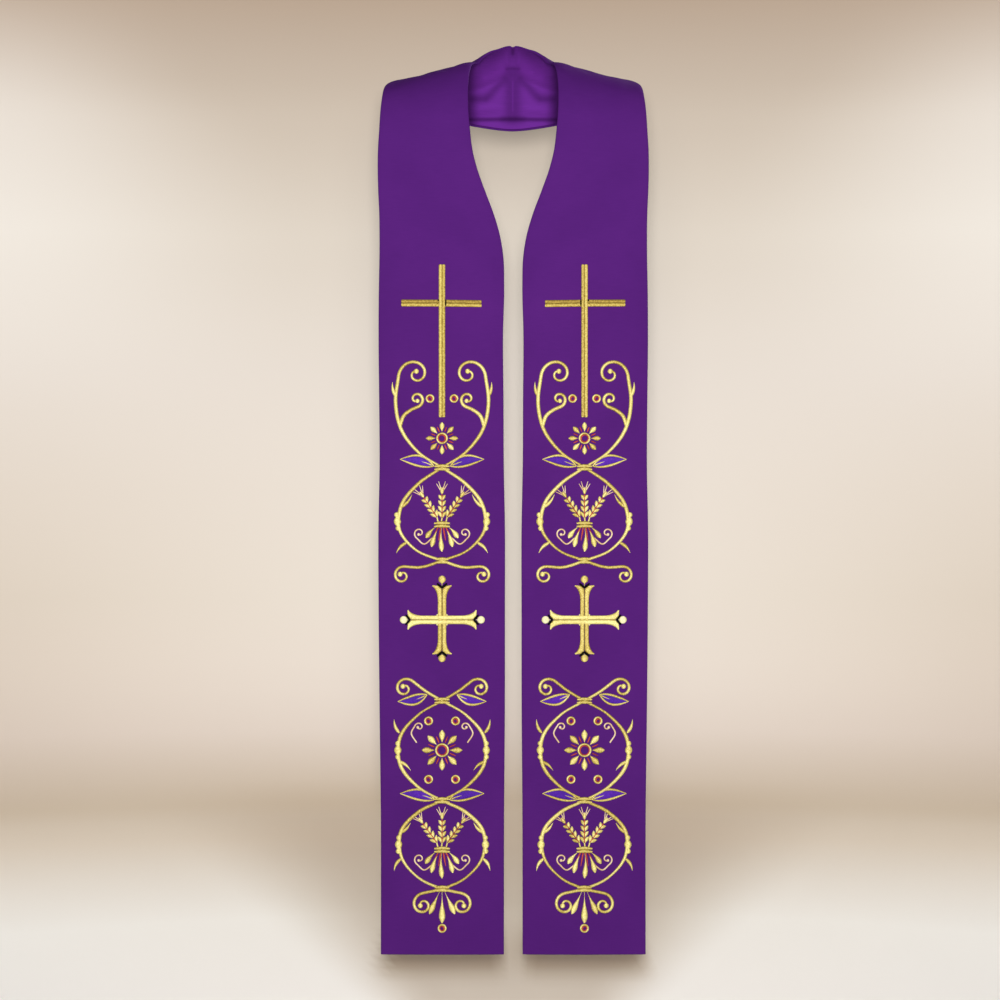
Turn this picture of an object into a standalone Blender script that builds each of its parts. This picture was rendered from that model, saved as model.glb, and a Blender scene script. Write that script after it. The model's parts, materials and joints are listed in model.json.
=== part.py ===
"""A clerical stole, hanging as it does over a wearer's neck and shoulders, with nobody in it.

Two mirrored halves meet in a seam at the centre back. Each half is one band of face cloth, cut in a
single piece from the hem, up the front, over the shoulder and round behind the neck, with a satin
lining bagged out inside its rolled edge. Two padded crosses are laid on the front of each half.

Metres, +Z up, the front faces -Y. Left and right are as seen from the front, so right is +X. The
origin is on the lining at the nape, where the neck holds it.
"""

import math
from collections import namedtuple

import bmesh
import bpy
import numpy as np
from mathutils import Matrix, Vector

MM = 0.001

# The band, from the hem up the front panel, over the shoulder and round to the centre back: both
# edges of the cloth and the crown between them, in millimetres. x is out from the middle, y back
# from the ridge of the shoulder, z above the hem.
Section = namedtuple("Section", "name in_x in_y in_z out_x out_y out_z crown")


PANEL_CROWN = 2.0


def panel(name, height, in_x, out_x, y):
    """A level section of a front panel."""
    return Section(name, in_x, y, height, out_x, y, height, PANEL_CROWN)


SECTIONS = [
    panel("hem", 0, 12.7, 176.5, -70.0),
    panel("panel_1", 190, 12.4, 176.6, -71.5),
    panel("panel_2", 330, 11.4, 178.2, -72.5),
    panel("panel_3", 470, 11.3, 179.4, -73.5),
    panel("panel_4", 560, 11.2, 179.7, -74.0),
    panel("panel_5", 660, 12.9, 178.0, -74.7),
    panel("panel_6", 740, 13.2, 178.6, -75.1),
    panel("panel_7", 825, 13.8, 179.4, -75.5),
    panel("panel_8", 895, 12.3, 178.9, -75.8),
    panel("neckline_foot", 930, 13.3, 178.2, -76.0),
    panel("neckline_1", 960, 18.0, 178.1, -76.0),
    panel("neckline_2", 990, 26.8, 178.5, -76.0),
    panel("neckline_3", 1020, 38.1, 179.8, -76.0),
    panel("neckline_4", 1050, 48.6, 180.5, -75.6),
    panel("neckline_5", 1075, 54.7, 180.2, -74.9),
    panel("neckline_top", 1100, 57.7, 178.8, -73.4),
    Section("turn_start", 60.1, -70.0, 1129, 177.5, -67.0, 1127, 2.0),
    Section("turn_low", 60.7, -57.0, 1159, 175.8, -53.0, 1149.5, 2.0),
    Section("turn_high", 59.6, -38.0, 1182, 174.1, -35.0, 1164, 1.5),
    Section("before_ridge", 57.4, -19.0, 1196, 171.0, -16.0, 1172.3, 0.4),
    Section("ridge", 54.6, 0.0, 1203.3, 166.8, 3.0, 1176, -0.5),
    Section("behind_ridge", 50.0, 16.5, 1207.5, 159.0, 27.0, 1171, 0.0),
    Section("shoulder_back", 43.0, 30.0, 1214.5, 143.5, 49.0, 1158.5, 1.5),
    Section("far_back", 33.0, 41.0, 1223.5, 117.0, 65.5, 1144, 3.2),
    Section("back", 21.5, 48.5, 1229.5, 81.5, 75.0, 1132.5, 4.6),
    Section("by_the_seam", 9.5, 52.4, 1233.5, 41.0, 79.0, 1124.6, 5.0),
    Section("centre_back", 0.0, 53.4, 1234.3, 0.0, 80.3, 1120.4, 5.0),
]
CROWN_LEAN = 0.8            # under 1, the crown is highest nearer the neck
RIDGE_SWING = 1.3           # on the ridge the cloth is raised by the neck and sunk further out
RIDGE_SWING_LENGTH = 32.0
SEAM_PINCH = 1.8            # the neck edge is drawn down this far by the seam, in millimetres
SEAM_PINCH_WIDTH = 4.5
SEAM_PINCH_FADE = 6         # the power that fades the pinch away across the band

# Cloth and seams
FACE_WALL = 0.0016          # face cloth with its interlining
LINING_WALL = 0.0010
PIECE_GAP = 0.0003
LIP = 0.0018                # the face cloth turned over the lining's edge
LIP_STEP = 0.0003
EDGE_ROLL = 0.0010          # how far a finished edge rolls back
ROLL_WIDTH = 0.0060
RIM_BULGE = 0.0005
LINING_DEPTH = FACE_WALL + PIECE_GAP
FULL_DEPTH = LINING_DEPTH + LINING_WALL
LINING_INSET = LIP + LIP_STEP + PIECE_GAP

# Soft folds of the neck piece, in millimetres: along the band from the centre seam and across it
# from the neck edge. A positive height pushes the cloth away from the neck.
Fold = namedtuple("Fold", "name from_u from_v to_u to_v width height")
FOLDS = [
    Fold("slant", 8, 42, 66, 76, 9, 2.2),
    Fold("upper_swell", 22, 26, 60, 34, 13, -1.8),
    Fold("lower_swell", 16, 84, 62, 96, 13, -1.6),
]

# Where the mesh has its rings and columns: the flat panel needs few rings, the turns need many
Stretch = namedtuple("Stretch", "until spacing")
RING_STRETCHES = [Stretch(0.90, 0.075), Stretch(1.10, 0.024), Stretch(math.inf, 0.010)]
MIDDLE_COLUMNS = 8
STEP_ALONG = 0.0015         # between the points that the surface's slopes are read from
STEP_ACROSS = 0.01          # the same, as a share of the width
SHARP = math.radians(40)

MOUNT_ACROSS = 0.4          # the nape point lies this share of the way across the band
DESIGN_LINE = 0.0950        # the embroidery's middle line, from the middle of the stole

# Crosses laid on the panels: heights above the hem and sizes
LATIN_FOOT = 0.717
LATIN_HEIGHT = 0.204
LATIN_SPAN = 0.108
LATIN_BAR = 0.0092
LATIN_CROSSING = 0.0515     # the cross bar's middle is this far below the top
GREEK_CENTRE = 0.4475
GREEK_SHAFT = 0.0115
GREEK_FORK = 0.0466         # from the centre to the tips of a forked end
GREEK_FORK_SPAN = 0.0258
GREEK_FLARE = 0.0200        # the length of the arm that flares
GREEK_NOTCH = 0.0422        # from the centre to the bottom of the notch in a forked end
GREEK_NOTCH_SPAN = 0.0110
GREEK_NECK = 0.0030
GREEK_PEARL_AT = 0.0534
GREEK_PEARL_R = 0.0052
GREEK_FLARE_STEPS = 5
GREEK_PEARL_STEPS = 6
CROSS_THICK = 0.0014
CROSS_BEVEL = 0.0008
CROSS_CELL = 0.018          # a cross is cut into cells this size so that it follows the panel

PURPLE = (0.103, 0.017, 0.195)
SATIN = (0.155, 0.024, 0.318)
GOLD = (0.68, 0.54, 0.19)


def section_ends():
    """Arrays of the inner ends, outer ends and crowns, with one section past the centre back.

    The section past the seam mirrors the one before it, so that the two halves meet smoothly.
    """
    past = SECTIONS[-2]._replace(in_x=-SECTIONS[-2].in_x, out_x=-SECTIONS[-2].out_x)
    rows = SECTIONS + [past]
    inner = np.array([(s.in_x, s.in_y, s.in_z) for s in rows]) * MM
    outer = np.array([(s.out_x, s.out_y, s.out_z) for s in rows]) * MM
    return inner, outer, np.array([s.crown for s in rows]) * MM


INNER, OUTER, CROWN = section_ends()
MIDDLE = (INNER + OUTER) / 2
KNOTS = np.concatenate([[0.0], np.cumsum(np.linalg.norm(np.diff(MIDDLE, axis=0), axis=1))])
LENGTH = float(KNOTS[-2])   # of the band's middle line, from the hem to the centre back
RIDGE_AT = float(KNOTS[[s.name for s in SECTIONS].index("ridge")])


def smooth_curve(values):
    """A function of length: the smooth curve through one value, or point, for each section."""
    slopes = np.gradient(values, KNOTS, axis=0)

    def at(s):
        i = min(max(int(np.searchsorted(KNOTS, s)) - 1, 0), len(KNOTS) - 2)
        span = KNOTS[i + 1] - KNOTS[i]
        x = (s - KNOTS[i]) / span
        return (
            (2 * x**3 - 3 * x**2 + 1) * values[i]
            + (x**3 - 2 * x**2 + x) * span * slopes[i]
            + (3 * x**2 - 2 * x**3) * values[i + 1]
            + (x**3 - x**2) * span * slopes[i + 1]
        )

    return at


inner_at, outer_at, crown_at = smooth_curve(INNER), smooth_curve(OUTER), smooth_curve(CROWN)


def middle_at(s):
    return (inner_at(s) + outer_at(s)) / 2


def unit(v):
    return v / np.linalg.norm(v)


def width_at(s):
    return float(np.linalg.norm(outer_at(s) - inner_at(s)))


def fold_height(s, t):
    """How far the soft folds move the cloth outwards at length s and share t of the way across."""
    here = np.array([abs(LENGTH - s) / MM, t * width_at(s) / MM])
    total = 0.0
    for fold in FOLDS:
        start = np.array([fold.from_u, fold.from_v])
        way = np.array([fold.to_u, fold.to_v]) - start
        share = float(np.clip((here - start) @ way / (way @ way), 0, 1))
        distance = np.linalg.norm(here - start - share * way)
        total += fold.height * math.exp(-((distance / fold.width) ** 2))
    return total * MM


def bare_surface(s, t):
    """The outer face of the cloth, before its edges roll."""
    inner, outer = inner_at(s), outer_at(s)
    ahead = middle_at(s + STEP_ALONG) - middle_at(s - STEP_ALONG)
    outwards = unit(np.cross(outer - inner, ahead))
    bulge = crown_at(s) * math.sin(math.pi * t**CROWN_LEAN)
    swing = RIDGE_SWING * MM * math.exp(-(((s - RIDGE_AT) / MM / RIDGE_SWING_LENGTH) ** 2))
    bulge += swing * math.sin(2 * math.pi * t)
    point = inner + t * (outer - inner) + outwards * (bulge + fold_height(s, t))
    pinch = SEAM_PINCH * math.exp(-(((LENGTH - s) / MM / SEAM_PINCH_WIDTH) ** 2))
    point[2] -= pinch * MM * (1 - t) ** SEAM_PINCH_FADE
    return point


def outward(s, t):
    """The unit normal of the outer face."""
    t0, t1 = max(t - STEP_ACROSS, 0.0), min(t + STEP_ACROSS, 1.0)
    across = bare_surface(s, t1) - bare_surface(s, t0)
    ahead = bare_surface(s + STEP_ALONG, t) - bare_surface(s - STEP_ALONG, t)
    return unit(np.cross(across, ahead))


def cloth_point(s, across, rise):
    """A point at length s, this far across from the neck edge, and rise outwards of the face."""
    width = width_at(s)
    edge = max(min(across, width - across), 0.0)
    roll = EDGE_ROLL * max(0.0, 1 - edge / ROLL_WIDTH) ** 2
    t = min(max(across / width, 0.0), 1.0)
    return bare_surface(s, t) + outward(s, t) * (rise - roll)


NAPE = cloth_point(LENGTH, MOUNT_ACROSS * width_at(LENGTH), -FULL_DEPTH)
NAPE[0] = 0.0


def placed(point, side):
    """The point in the part's own frame, on the right half (side 1) or mirrored to the left (-1)."""
    x, y, z = point - NAPE
    return Vector((side * max(x, PIECE_GAP / 2), y, z))


def ring_lengths(start):
    """The lengths along the band at which the mesh has a ring, from start to the centre back."""
    rings = [start]
    for until, spacing in RING_STRETCHES:
        end = min(until, LENGTH)
        count = max(1, round((end - rings[-1]) / spacing))
        rings += list(np.linspace(rings[-1], end, count + 1)[1:])
    return rings


def column_distances(width, first):
    """Distances across the band of the mesh's columns, from first in from either edge."""
    near = first + [ROLL_WIDTH]
    middle = list(np.linspace(ROLL_WIDTH, width - ROLL_WIDTH, MIDDLE_COLUMNS + 2)[1:-1])
    return near + middle + [width - d for d in reversed(near)]


def face_ring(s, hem_rim=False):
    """One closed ring of the face cloth: its outer side, its edge, its inner side, its other edge."""
    width = width_at(s)
    across = column_distances(width, [0.0, LIP, LIP + LIP_STEP])
    squeeze = RIM_BULGE if hem_rim else 0.0
    in_hem = s < LIP + LIP_STEP / 2

    def depth(d):
        at_edge = min(d, width - d) < LIP + LIP_STEP / 2
        return (FULL_DEPTH if at_edge or in_hem else FACE_WALL) - squeeze

    outside = [cloth_point(s, d, -squeeze) for d in across]
    inside = [cloth_point(s, d, -depth(d)) for d in reversed(across)]
    if hem_rim:
        for point in outside + inside:
            point[2] -= RIM_BULGE
    bulge = [
        cloth_point(s, d, -FULL_DEPTH / 2) + way * RIM_BULGE * unit(outer_at(s) - inner_at(s))
        for d, way in ((width, 1), (0.0, -1))
    ]
    return outside + [bulge[0]] + inside + [bulge[1]]


def lining_ring(s):
    """One closed ring of the lining, just inside the face cloth's turned edge."""
    across = column_distances(width_at(s), [LINING_INSET])
    outside = [cloth_point(s, d, -LINING_DEPTH) for d in across]
    inside = [cloth_point(s, d, -FULL_DEPTH) for d in reversed(across)]
    return outside + inside


def fabric(name, colour, roughness, metallic=0.0):
    material = bpy.data.materials.new(name)
    material.use_nodes = True
    shader = material.node_tree.nodes["Principled BSDF"]
    shader.inputs["Base Color"].default_value = (*colour, 1.0)
    shader.inputs["Roughness"].default_value = roughness
    shader.inputs["Metallic"].default_value = metallic
    return material


def add_object(name, bm, material):
    """Links the mesh as an object shaded smooth, with its faces pointing out."""
    bm.normal_update()
    bmesh.ops.recalc_face_normals(bm, faces=bm.faces)
    mesh = bpy.data.meshes.new(name)
    bm.to_mesh(mesh)
    bm.free()
    mesh.shade_smooth()
    mesh.set_sharp_from_angle(angle=SHARP)
    mesh.materials.append(material)
    thing = bpy.data.objects.new(name, mesh)
    bpy.context.scene.collection.objects.link(thing)
    return thing


def face_half(name, side, material):
    lengths = [0.0, LIP, LIP + LIP_STEP] + ring_lengths(LIP + LIP_STEP)[1:]
    rings = [face_ring(0.0, hem_rim=True)] + [face_ring(s) for s in lengths]
    return wall(name, rings, side, material)


def lining_half(name, side, material):
    rings = [lining_ring(s) for s in ring_lengths(LINING_INSET)]
    return wall(name, rings, side, material)


def wall(name, rings, side, material):
    """Joins closed rings of the same number of points into one wall, and closes both ends.

    Every four-sided patch is cut along the same way across the cloth, so that the face cloth and the
    lining turn their corners together and keep their gap.
    """
    bm = bmesh.new()
    loops = [[bm.verts.new(placed(point, side)) for point in ring] for ring in rings]
    count = len(loops[0])
    for low, high in zip(loops, loops[1:]):
        for k in range(count):
            n = (k + 1) % count
            if k < count // 2:
                bm.faces.new((low[k], low[n], high[n]))
                bm.faces.new((low[k], high[n], high[k]))
            else:
                bm.faces.new((low[k], low[n], high[k]))
                bm.faces.new((low[n], high[n], high[k]))
    bm.faces.new(loops[0])
    bm.faces.new(loops[-1])
    return add_object(name, bm, material)


def panel_point(x, height, rise, side):
    """A point on a front panel, x out from the embroidery's line and rise in front of the face."""
    s = height
    for _ in range(4):
        s += height - middle_at(s)[2]
    return placed(cloth_point(s, DESIGN_LINE + x - inner_at(s)[0], rise), side)


def latin_outline():
    """Corners of a plain Latin cross, about its own foot."""
    bar, arm = LATIN_BAR / 2, LATIN_SPAN / 2
    low = LATIN_HEIGHT - LATIN_CROSSING - bar
    high = low + LATIN_BAR
    right = [(bar, 0.0), (bar, low), (arm, low), (arm, high), (bar, high), (bar, LATIN_HEIGHT)]
    return right + [(-x, z) for x, z in reversed(right)]


def forked_arm():
    """One side of an arm that points up: shaft, flare, fork, notch, neck and pearl."""
    shaft, tip, notch = GREEK_SHAFT / 2, GREEK_FORK_SPAN / 2, GREEK_NOTCH_SPAN / 2
    points = [(shaft, shaft)]
    for k in range(GREEK_FLARE_STEPS + 1):
        turn = math.pi / 2 * k / GREEK_FLARE_STEPS
        z = GREEK_FORK - GREEK_FLARE * (1 - math.sin(turn))
        points.append((shaft + (tip - shaft) * (1 - math.cos(turn)), z))
    neck = GREEK_NECK / 2
    neck_z = GREEK_NOTCH + (GREEK_FORK - GREEK_NOTCH) * neck / notch
    points += [(notch, GREEK_FORK), (neck, neck_z)]
    start = math.asin(neck / GREEK_PEARL_R)
    for k in range(GREEK_PEARL_STEPS + 1):
        turn = start + (math.pi - start) * k / GREEK_PEARL_STEPS
        x = GREEK_PEARL_R * math.sin(turn)
        points.append((x, GREEK_PEARL_AT - GREEK_PEARL_R * math.cos(turn)))
    return points


def greek_outline():
    """The outline of an equal-armed cross with forked ends, each holding a round pearl."""
    side = forked_arm()
    arm = side + [(-x, z) for x, z in reversed(side[:-1])]
    outline = []
    for quarter in range(4):
        turn = Matrix.Rotation(math.pi / 2 * quarter, 2)
        outline += [tuple(turn @ Vector(point)) for point in arm[:-1]]
    return outline


def cut_into_cells(bm, size):
    """Cuts the mesh along X and Y into cells of about this size."""
    for axis in (0, 1):
        low = min(v.co[axis] for v in bm.verts)
        high = max(v.co[axis] for v in bm.verts)
        cells = math.ceil((high - low) / size)
        normal = Vector((axis == 0, axis == 1, 0))
        for k in range(1, cells):
            point = normal * (low + (high - low) * k / cells)
            whole = bm.verts[:] + bm.edges[:] + bm.faces[:]
            bmesh.ops.bisect_plane(bm, geom=whole, plane_co=point, plane_no=normal)


def applique(name, outline, foot, side, material):
    """A padded shape of this outline, laid on the panel's face with its foot at that height."""
    bm = bmesh.new()
    base = bm.faces.new([bm.verts.new((x, z, PIECE_GAP)) for x, z in outline])
    raised = bmesh.ops.extrude_face_region(bm, geom=[base])
    top = [g for g in raised["geom"] if isinstance(g, bmesh.types.BMVert)]
    bmesh.ops.translate(bm, verts=top, vec=(0, 0, CROSS_THICK))
    rim = [e for e in bm.edges if all(v in top for v in e.verts)]
    bmesh.ops.bevel(bm, geom=rim, offset=CROSS_BEVEL, segments=1, affect="EDGES", clamp_overlap=True)
    cut_into_cells(bm, CROSS_CELL)
    bmesh.ops.triangulate(bm, faces=bm.faces)
    for vertex in bm.verts:
        x, up, rise = vertex.co
        vertex.co = panel_point(x, foot + up, rise, side)
    return add_object(name, bm, material)


def clear_scene():
    for thing in list(bpy.data.objects):
        bpy.data.objects.remove(thing, do_unlink=True)


def main():
    clear_scene()
    face = fabric("purple_crepe", PURPLE, 0.75)
    lining = fabric("purple_satin", SATIN, 0.4)
    gold = fabric("gold_thread", GOLD, 0.4, 0.4)
    for suffix, side in (("left", -1), ("right", 1)):
        face_half(f"face_{suffix}", side, face)
        lining_half(f"lining_{suffix}", side, lining)
        applique(f"latin_cross_{suffix}", latin_outline(), LATIN_FOOT, side, gold)
        applique(f"greek_cross_{suffix}", greek_outline(), GREEK_CENTRE, side, gold)


main()
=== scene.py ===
# %% [markdown]
# # Dressing a clerical stole
# A stole is one long, narrow band of cloth that a priest wears round the neck, with both ends
# hanging down the front. This one is purple, lined with satin and worked in gold thread, and it
# keeps the shape that it has on a wearer, with nobody in it.
#
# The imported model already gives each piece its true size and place. This lesson makes the fine
# surface round it: the cloth with its rolled edges and soft creases, the lining, and every raised
# stitch. Everything is in metres, with +Z up and the front facing -Y. Left and right are as seen
# from the front.

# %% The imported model
import json
import math
from collections import namedtuple

import bmesh
import bpy
import numpy as np
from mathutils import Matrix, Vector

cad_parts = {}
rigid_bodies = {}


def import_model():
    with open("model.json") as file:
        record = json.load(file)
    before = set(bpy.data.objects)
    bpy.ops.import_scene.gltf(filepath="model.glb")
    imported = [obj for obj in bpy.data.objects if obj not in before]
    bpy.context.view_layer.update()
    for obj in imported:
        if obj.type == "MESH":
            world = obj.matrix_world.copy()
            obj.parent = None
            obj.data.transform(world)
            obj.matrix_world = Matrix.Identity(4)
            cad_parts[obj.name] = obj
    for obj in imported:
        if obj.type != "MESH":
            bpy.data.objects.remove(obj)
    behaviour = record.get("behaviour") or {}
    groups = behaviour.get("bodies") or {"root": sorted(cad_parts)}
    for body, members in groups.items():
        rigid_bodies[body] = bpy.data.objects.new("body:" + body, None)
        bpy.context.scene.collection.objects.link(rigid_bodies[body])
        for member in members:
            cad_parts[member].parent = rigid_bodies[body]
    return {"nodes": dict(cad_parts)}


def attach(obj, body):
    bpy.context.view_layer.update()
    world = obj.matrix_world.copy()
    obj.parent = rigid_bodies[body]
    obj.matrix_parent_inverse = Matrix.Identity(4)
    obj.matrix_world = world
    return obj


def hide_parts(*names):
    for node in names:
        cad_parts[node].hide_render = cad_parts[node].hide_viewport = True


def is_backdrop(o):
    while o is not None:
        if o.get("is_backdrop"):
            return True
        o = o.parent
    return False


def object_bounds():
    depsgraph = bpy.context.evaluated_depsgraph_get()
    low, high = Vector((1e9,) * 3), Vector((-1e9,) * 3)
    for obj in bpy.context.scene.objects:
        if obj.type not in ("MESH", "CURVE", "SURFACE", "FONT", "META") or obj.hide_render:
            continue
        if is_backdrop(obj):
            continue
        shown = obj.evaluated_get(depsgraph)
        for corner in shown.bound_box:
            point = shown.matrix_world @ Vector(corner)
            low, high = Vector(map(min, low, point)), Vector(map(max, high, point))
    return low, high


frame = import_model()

cad_low, cad_high = (list(corner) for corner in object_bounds())
print("nodes:", sorted(frame["nodes"]))
print("box:", cad_low, cad_high)

# %% [markdown]
# ## The band as a surface
# The stole is cut as two mirrored halves, sewn together at the back of the neck. Each half is a
# band that runs from the hem, up the front, over the shoulder and round to that seam. A maker
# thinks of it as a strip with a length and a width, so the surface is a function of those two:
# `s` is the length from the hem, and `across` is the distance from the edge nearest the neck.
#
# A table gives both edges of the band at a few heights. Smooth curves join them, which keeps the
# table short and lets every later piece, cloth or stitch, find its place on the same surface.

# %% Sections of a front panel
MM = 0.001
Section = namedtuple("Section", "in_x in_y in_z out_x out_y out_z crown")
PANEL_CROWN = 2.0


def panel(height, in_x, out_x, y):
    """A level section of a front panel, in millimetres above the hem."""
    return Section(in_x, y, height, out_x, y, height, PANEL_CROWN)


PANEL_SECTIONS = [
    panel(0, 12.7, 176.5, -70.0),
    panel(190, 12.4, 176.6, -71.5),
    panel(330, 11.4, 178.2, -72.5),
    panel(470, 11.3, 179.4, -73.5),
    panel(560, 11.2, 179.7, -74.0),
    panel(660, 12.9, 178.0, -74.7),
    panel(740, 13.2, 178.6, -75.1),
    panel(825, 13.8, 179.4, -75.5),
    panel(895, 12.3, 178.9, -75.8),
    panel(930, 13.3, 178.2, -76.0),
    panel(960, 18.0, 178.1, -76.0),
    panel(990, 26.8, 178.5, -76.0),
    panel(1020, 38.1, 179.8, -76.0),
    panel(1050, 48.6, 180.5, -75.6),
    panel(1075, 54.7, 180.2, -74.9),
    panel(1100, 57.7, 178.8, -73.4),
]
print(len(PANEL_SECTIONS), "sections up a panel")

# %% Sections over the shoulder
TURN_SECTIONS = [
    Section(60.1, -70.0, 1129, 177.5, -67.0, 1127, 2.0),
    Section(60.7, -57.0, 1159, 175.8, -53.0, 1149.5, 2.0),
    Section(59.6, -38.0, 1182, 174.1, -35.0, 1164, 1.5),
    Section(57.4, -19.0, 1196, 171.0, -16.0, 1172.3, 0.4),
]
BACK_SECTIONS = [
    Section(54.6, 0.0, 1203.3, 166.8, 3.0, 1176, -0.5),
    Section(50.0, 16.5, 1206.6, 159.0, 27.0, 1171, 0.0),
    Section(43.0, 30.0, 1214.5, 143.5, 49.0, 1158.5, 1.5),
    Section(33.0, 41.0, 1225.0, 117.0, 65.5, 1144, 3.2),
    Section(21.5, 48.5, 1230.1, 81.5, 75.0, 1132.5, 4.6),
    Section(9.5, 52.4, 1234.3, 41.0, 79.0, 1124.6, 5.0),
    Section(0.0, 53.4, 1235.0, 0.0, 80.3, 1120.4, 5.0),
    Section(-9.5, 52.4, 1234.3, -41.0, 79.0, 1124.6, 5.0),
]
SECTIONS = PANEL_SECTIONS + TURN_SECTIONS + BACK_SECTIONS
INNER = np.array([row[:3] for row in SECTIONS]) * MM
OUTER = np.array([row[3:6] for row in SECTIONS]) * MM
CROWN = np.array([row.crown for row in SECTIONS]) * MM


def chord_lengths(points):
    """The running length of a line of points."""
    steps = np.linalg.norm(np.diff(points, axis=0), axis=1)
    return np.concatenate([[0.0], np.cumsum(steps)])


KNOTS = chord_lengths((INNER + OUTER) / 2)
LENGTH = float(KNOTS[-2])
RIDGE_AT = float(KNOTS[len(PANEL_SECTIONS) + len(TURN_SECTIONS)])
print(f"half band {LENGTH / MM:.0f} mm long, shoulder ridge at {RIDGE_AT / MM:.0f} mm")

# %% Smooth curves through the sections


def smooth_curve(values, knots):
    """A function of length that runs smoothly through one value, or point, for each knot."""
    values = np.asarray(values, float)
    slopes = np.gradient(values, knots, axis=0)

    def at(length):
        length = np.asarray(length, float)
        i = np.clip(np.searchsorted(knots, length) - 1, 0, len(knots) - 2)
        span = knots[i + 1] - knots[i]
        x = (length - knots[i]) / span
        if values.ndim > 1:
            span, x = span[..., None], x[..., None]
        near = (2 * x**3 - 3 * x**2 + 1) * values[i] + (x**3 - 2 * x**2 + x) * span * slopes[i]
        far = (3 * x**2 - 2 * x**3) * values[i + 1] + (x**3 - x**2) * span * slopes[i + 1]
        return near + far

    return at


inner_at = smooth_curve(INNER, KNOTS)
outer_at = smooth_curve(OUTER, KNOTS)
crown_at = smooth_curve(CROWN, KNOTS)


def middle_at(s):
    return (inner_at(s) + outer_at(s)) / 2


def width_at(s):
    return np.linalg.norm(outer_at(s) - inner_at(s), axis=-1)


print("width at hem, shoulder, seam:", np.round(width_at([0, RIDGE_AT, LENGTH]) / MM, 1))

# %% [markdown]
# ## Creases placed one by one
# Cloth that has hung for a while is not smooth. It keeps soft creases where it bends round the
# neck, where the seam draws it in and where it turns over the shoulder. A cloth simulation could
# make some, but never the ones that a certain stole has, so each crease here is given as a soft
# ridge or trough between two points.
#
# They are given as a dressmaker would mark them: `u` along the band from the back seam and `v`
# across it from the neck edge. A positive height pushes the cloth away from the wearer. A few are
# on one half only, because two halves never crease alike.
#
# Down the panels the lining has a little more length than the face cloth, or it would pull the
# panel out of shape. That slack hangs in long, soft creases, which stand towards the wearer and
# do not show in front.

# %% Table of creases
Crease = namedtuple("Crease", "side from_u from_v to_u to_v width height")
BOTH, LEFT, RIGHT = 0, -1, 1
SIDES = {"left": LEFT, "right": RIGHT}
NECK_CREASES = [
    Crease(BOTH, 8, 42, 66, 76, 9.0, 1.2),
    Crease(BOTH, 22, 26, 60, 34, 13.0, -1.4),
    Crease(BOTH, 16, 84, 62, 96, 13.0, -1.2),
    Crease(BOTH, 126, 14, 152, 13, 12.0, 1.3),
]
SHOULDER_CREASES = [
    Crease(RIGHT, 92, 6, 138, 52, 7.0, 0.9),
    Crease(LEFT, 88, 4, 146, 60, 8.0, 0.8),
    Crease(RIGHT, 108, 3, 168, 44, 6.0, -0.8),
    Crease(LEFT, 112, 3, 160, 36, 6.5, -0.9),
    Crease(BOTH, 118, 112, 158, 84, 9.0, 0.9),
    Crease(BOTH, 128, 107, 152, 106, 9.0, 1.3),
    Crease(RIGHT, 136, 118, 190, 96, 10.0, -0.8),
    Crease(LEFT, 128, 120, 184, 100, 11.0, -0.7),
    Crease(RIGHT, 176, 10, 236, 30, 9.0, 0.6),
    Crease(LEFT, 182, 12, 228, 34, 10.0, 0.5),
]
PANEL_CREASES = [
    Crease(RIGHT, 300, 150, 520, 138, 16.0, 0.5),
    Crease(LEFT, 320, 148, 560, 140, 18.0, 0.5),
    Crease(RIGHT, 420, 26, 700, 20, 15.0, 0.4),
    Crease(LEFT, 380, 24, 640, 18, 14.0, 0.4),
    Crease(RIGHT, 980, 30, 1330, 22, 20.0, 0.5),
    Crease(LEFT, 1040, 140, 1340, 148, 22.0, 0.6),
]
CREASES = NECK_CREASES + SHOULDER_CREASES + PANEL_CREASES
print(len(CREASES), "creases through both layers")

# %% Table of slack creases
SLACK_CREASES = [
    Crease(RIGHT, 240, 14, 344, 104, 14.0, 1.7),
    Crease(LEFT, 226, 22, 362, 96, 15.5, 1.5),
    Crease(RIGHT, 286, 136, 392, 52, 12.0, -1.2),
    Crease(LEFT, 300, 130, 398, 56, 11.0, -1.3),
    Crease(RIGHT, 318, 40, 610, 60, 13.0, 1.8),
    Crease(LEFT, 330, 106, 690, 90, 14.0, 1.7),
    Crease(RIGHT, 440, 92, 680, 118, 11.0, 1.4),
    Crease(LEFT, 404, 46, 588, 28, 12.0, 1.3),
    Crease(RIGHT, 570, 30, 900, 54, 14.5, 1.5),
    Crease(LEFT, 640, 66, 950, 42, 13.5, 1.6),
    Crease(RIGHT, 660, 124, 940, 100, 12.5, -1.2),
    Crease(LEFT, 690, 108, 900, 128, 13.0, -1.1),
    Crease(RIGHT, 850, 78, 1180, 60, 15.0, 1.5),
    Crease(LEFT, 900, 80, 1260, 96, 15.0, 1.7),
    Crease(RIGHT, 1050, 108, 1330, 126, 13.0, 1.4),
    Crease(LEFT, 1080, 34, 1340, 50, 12.0, 1.2),
]
print(len(SLACK_CREASES), "creases in the lining alone")

# %% Heights of the creases


def near_line(here, start, end, width):
    """How near points are to a line, from 1 on it to 0 far away, and their share of its length."""
    way = np.array(end) - start
    share = np.clip((here - start) @ way / (way @ way), 0, 1)
    distance = np.linalg.norm(here - start - share[..., None] * way, axis=-1)
    return np.exp(-((distance / width) ** 2)), share


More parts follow.
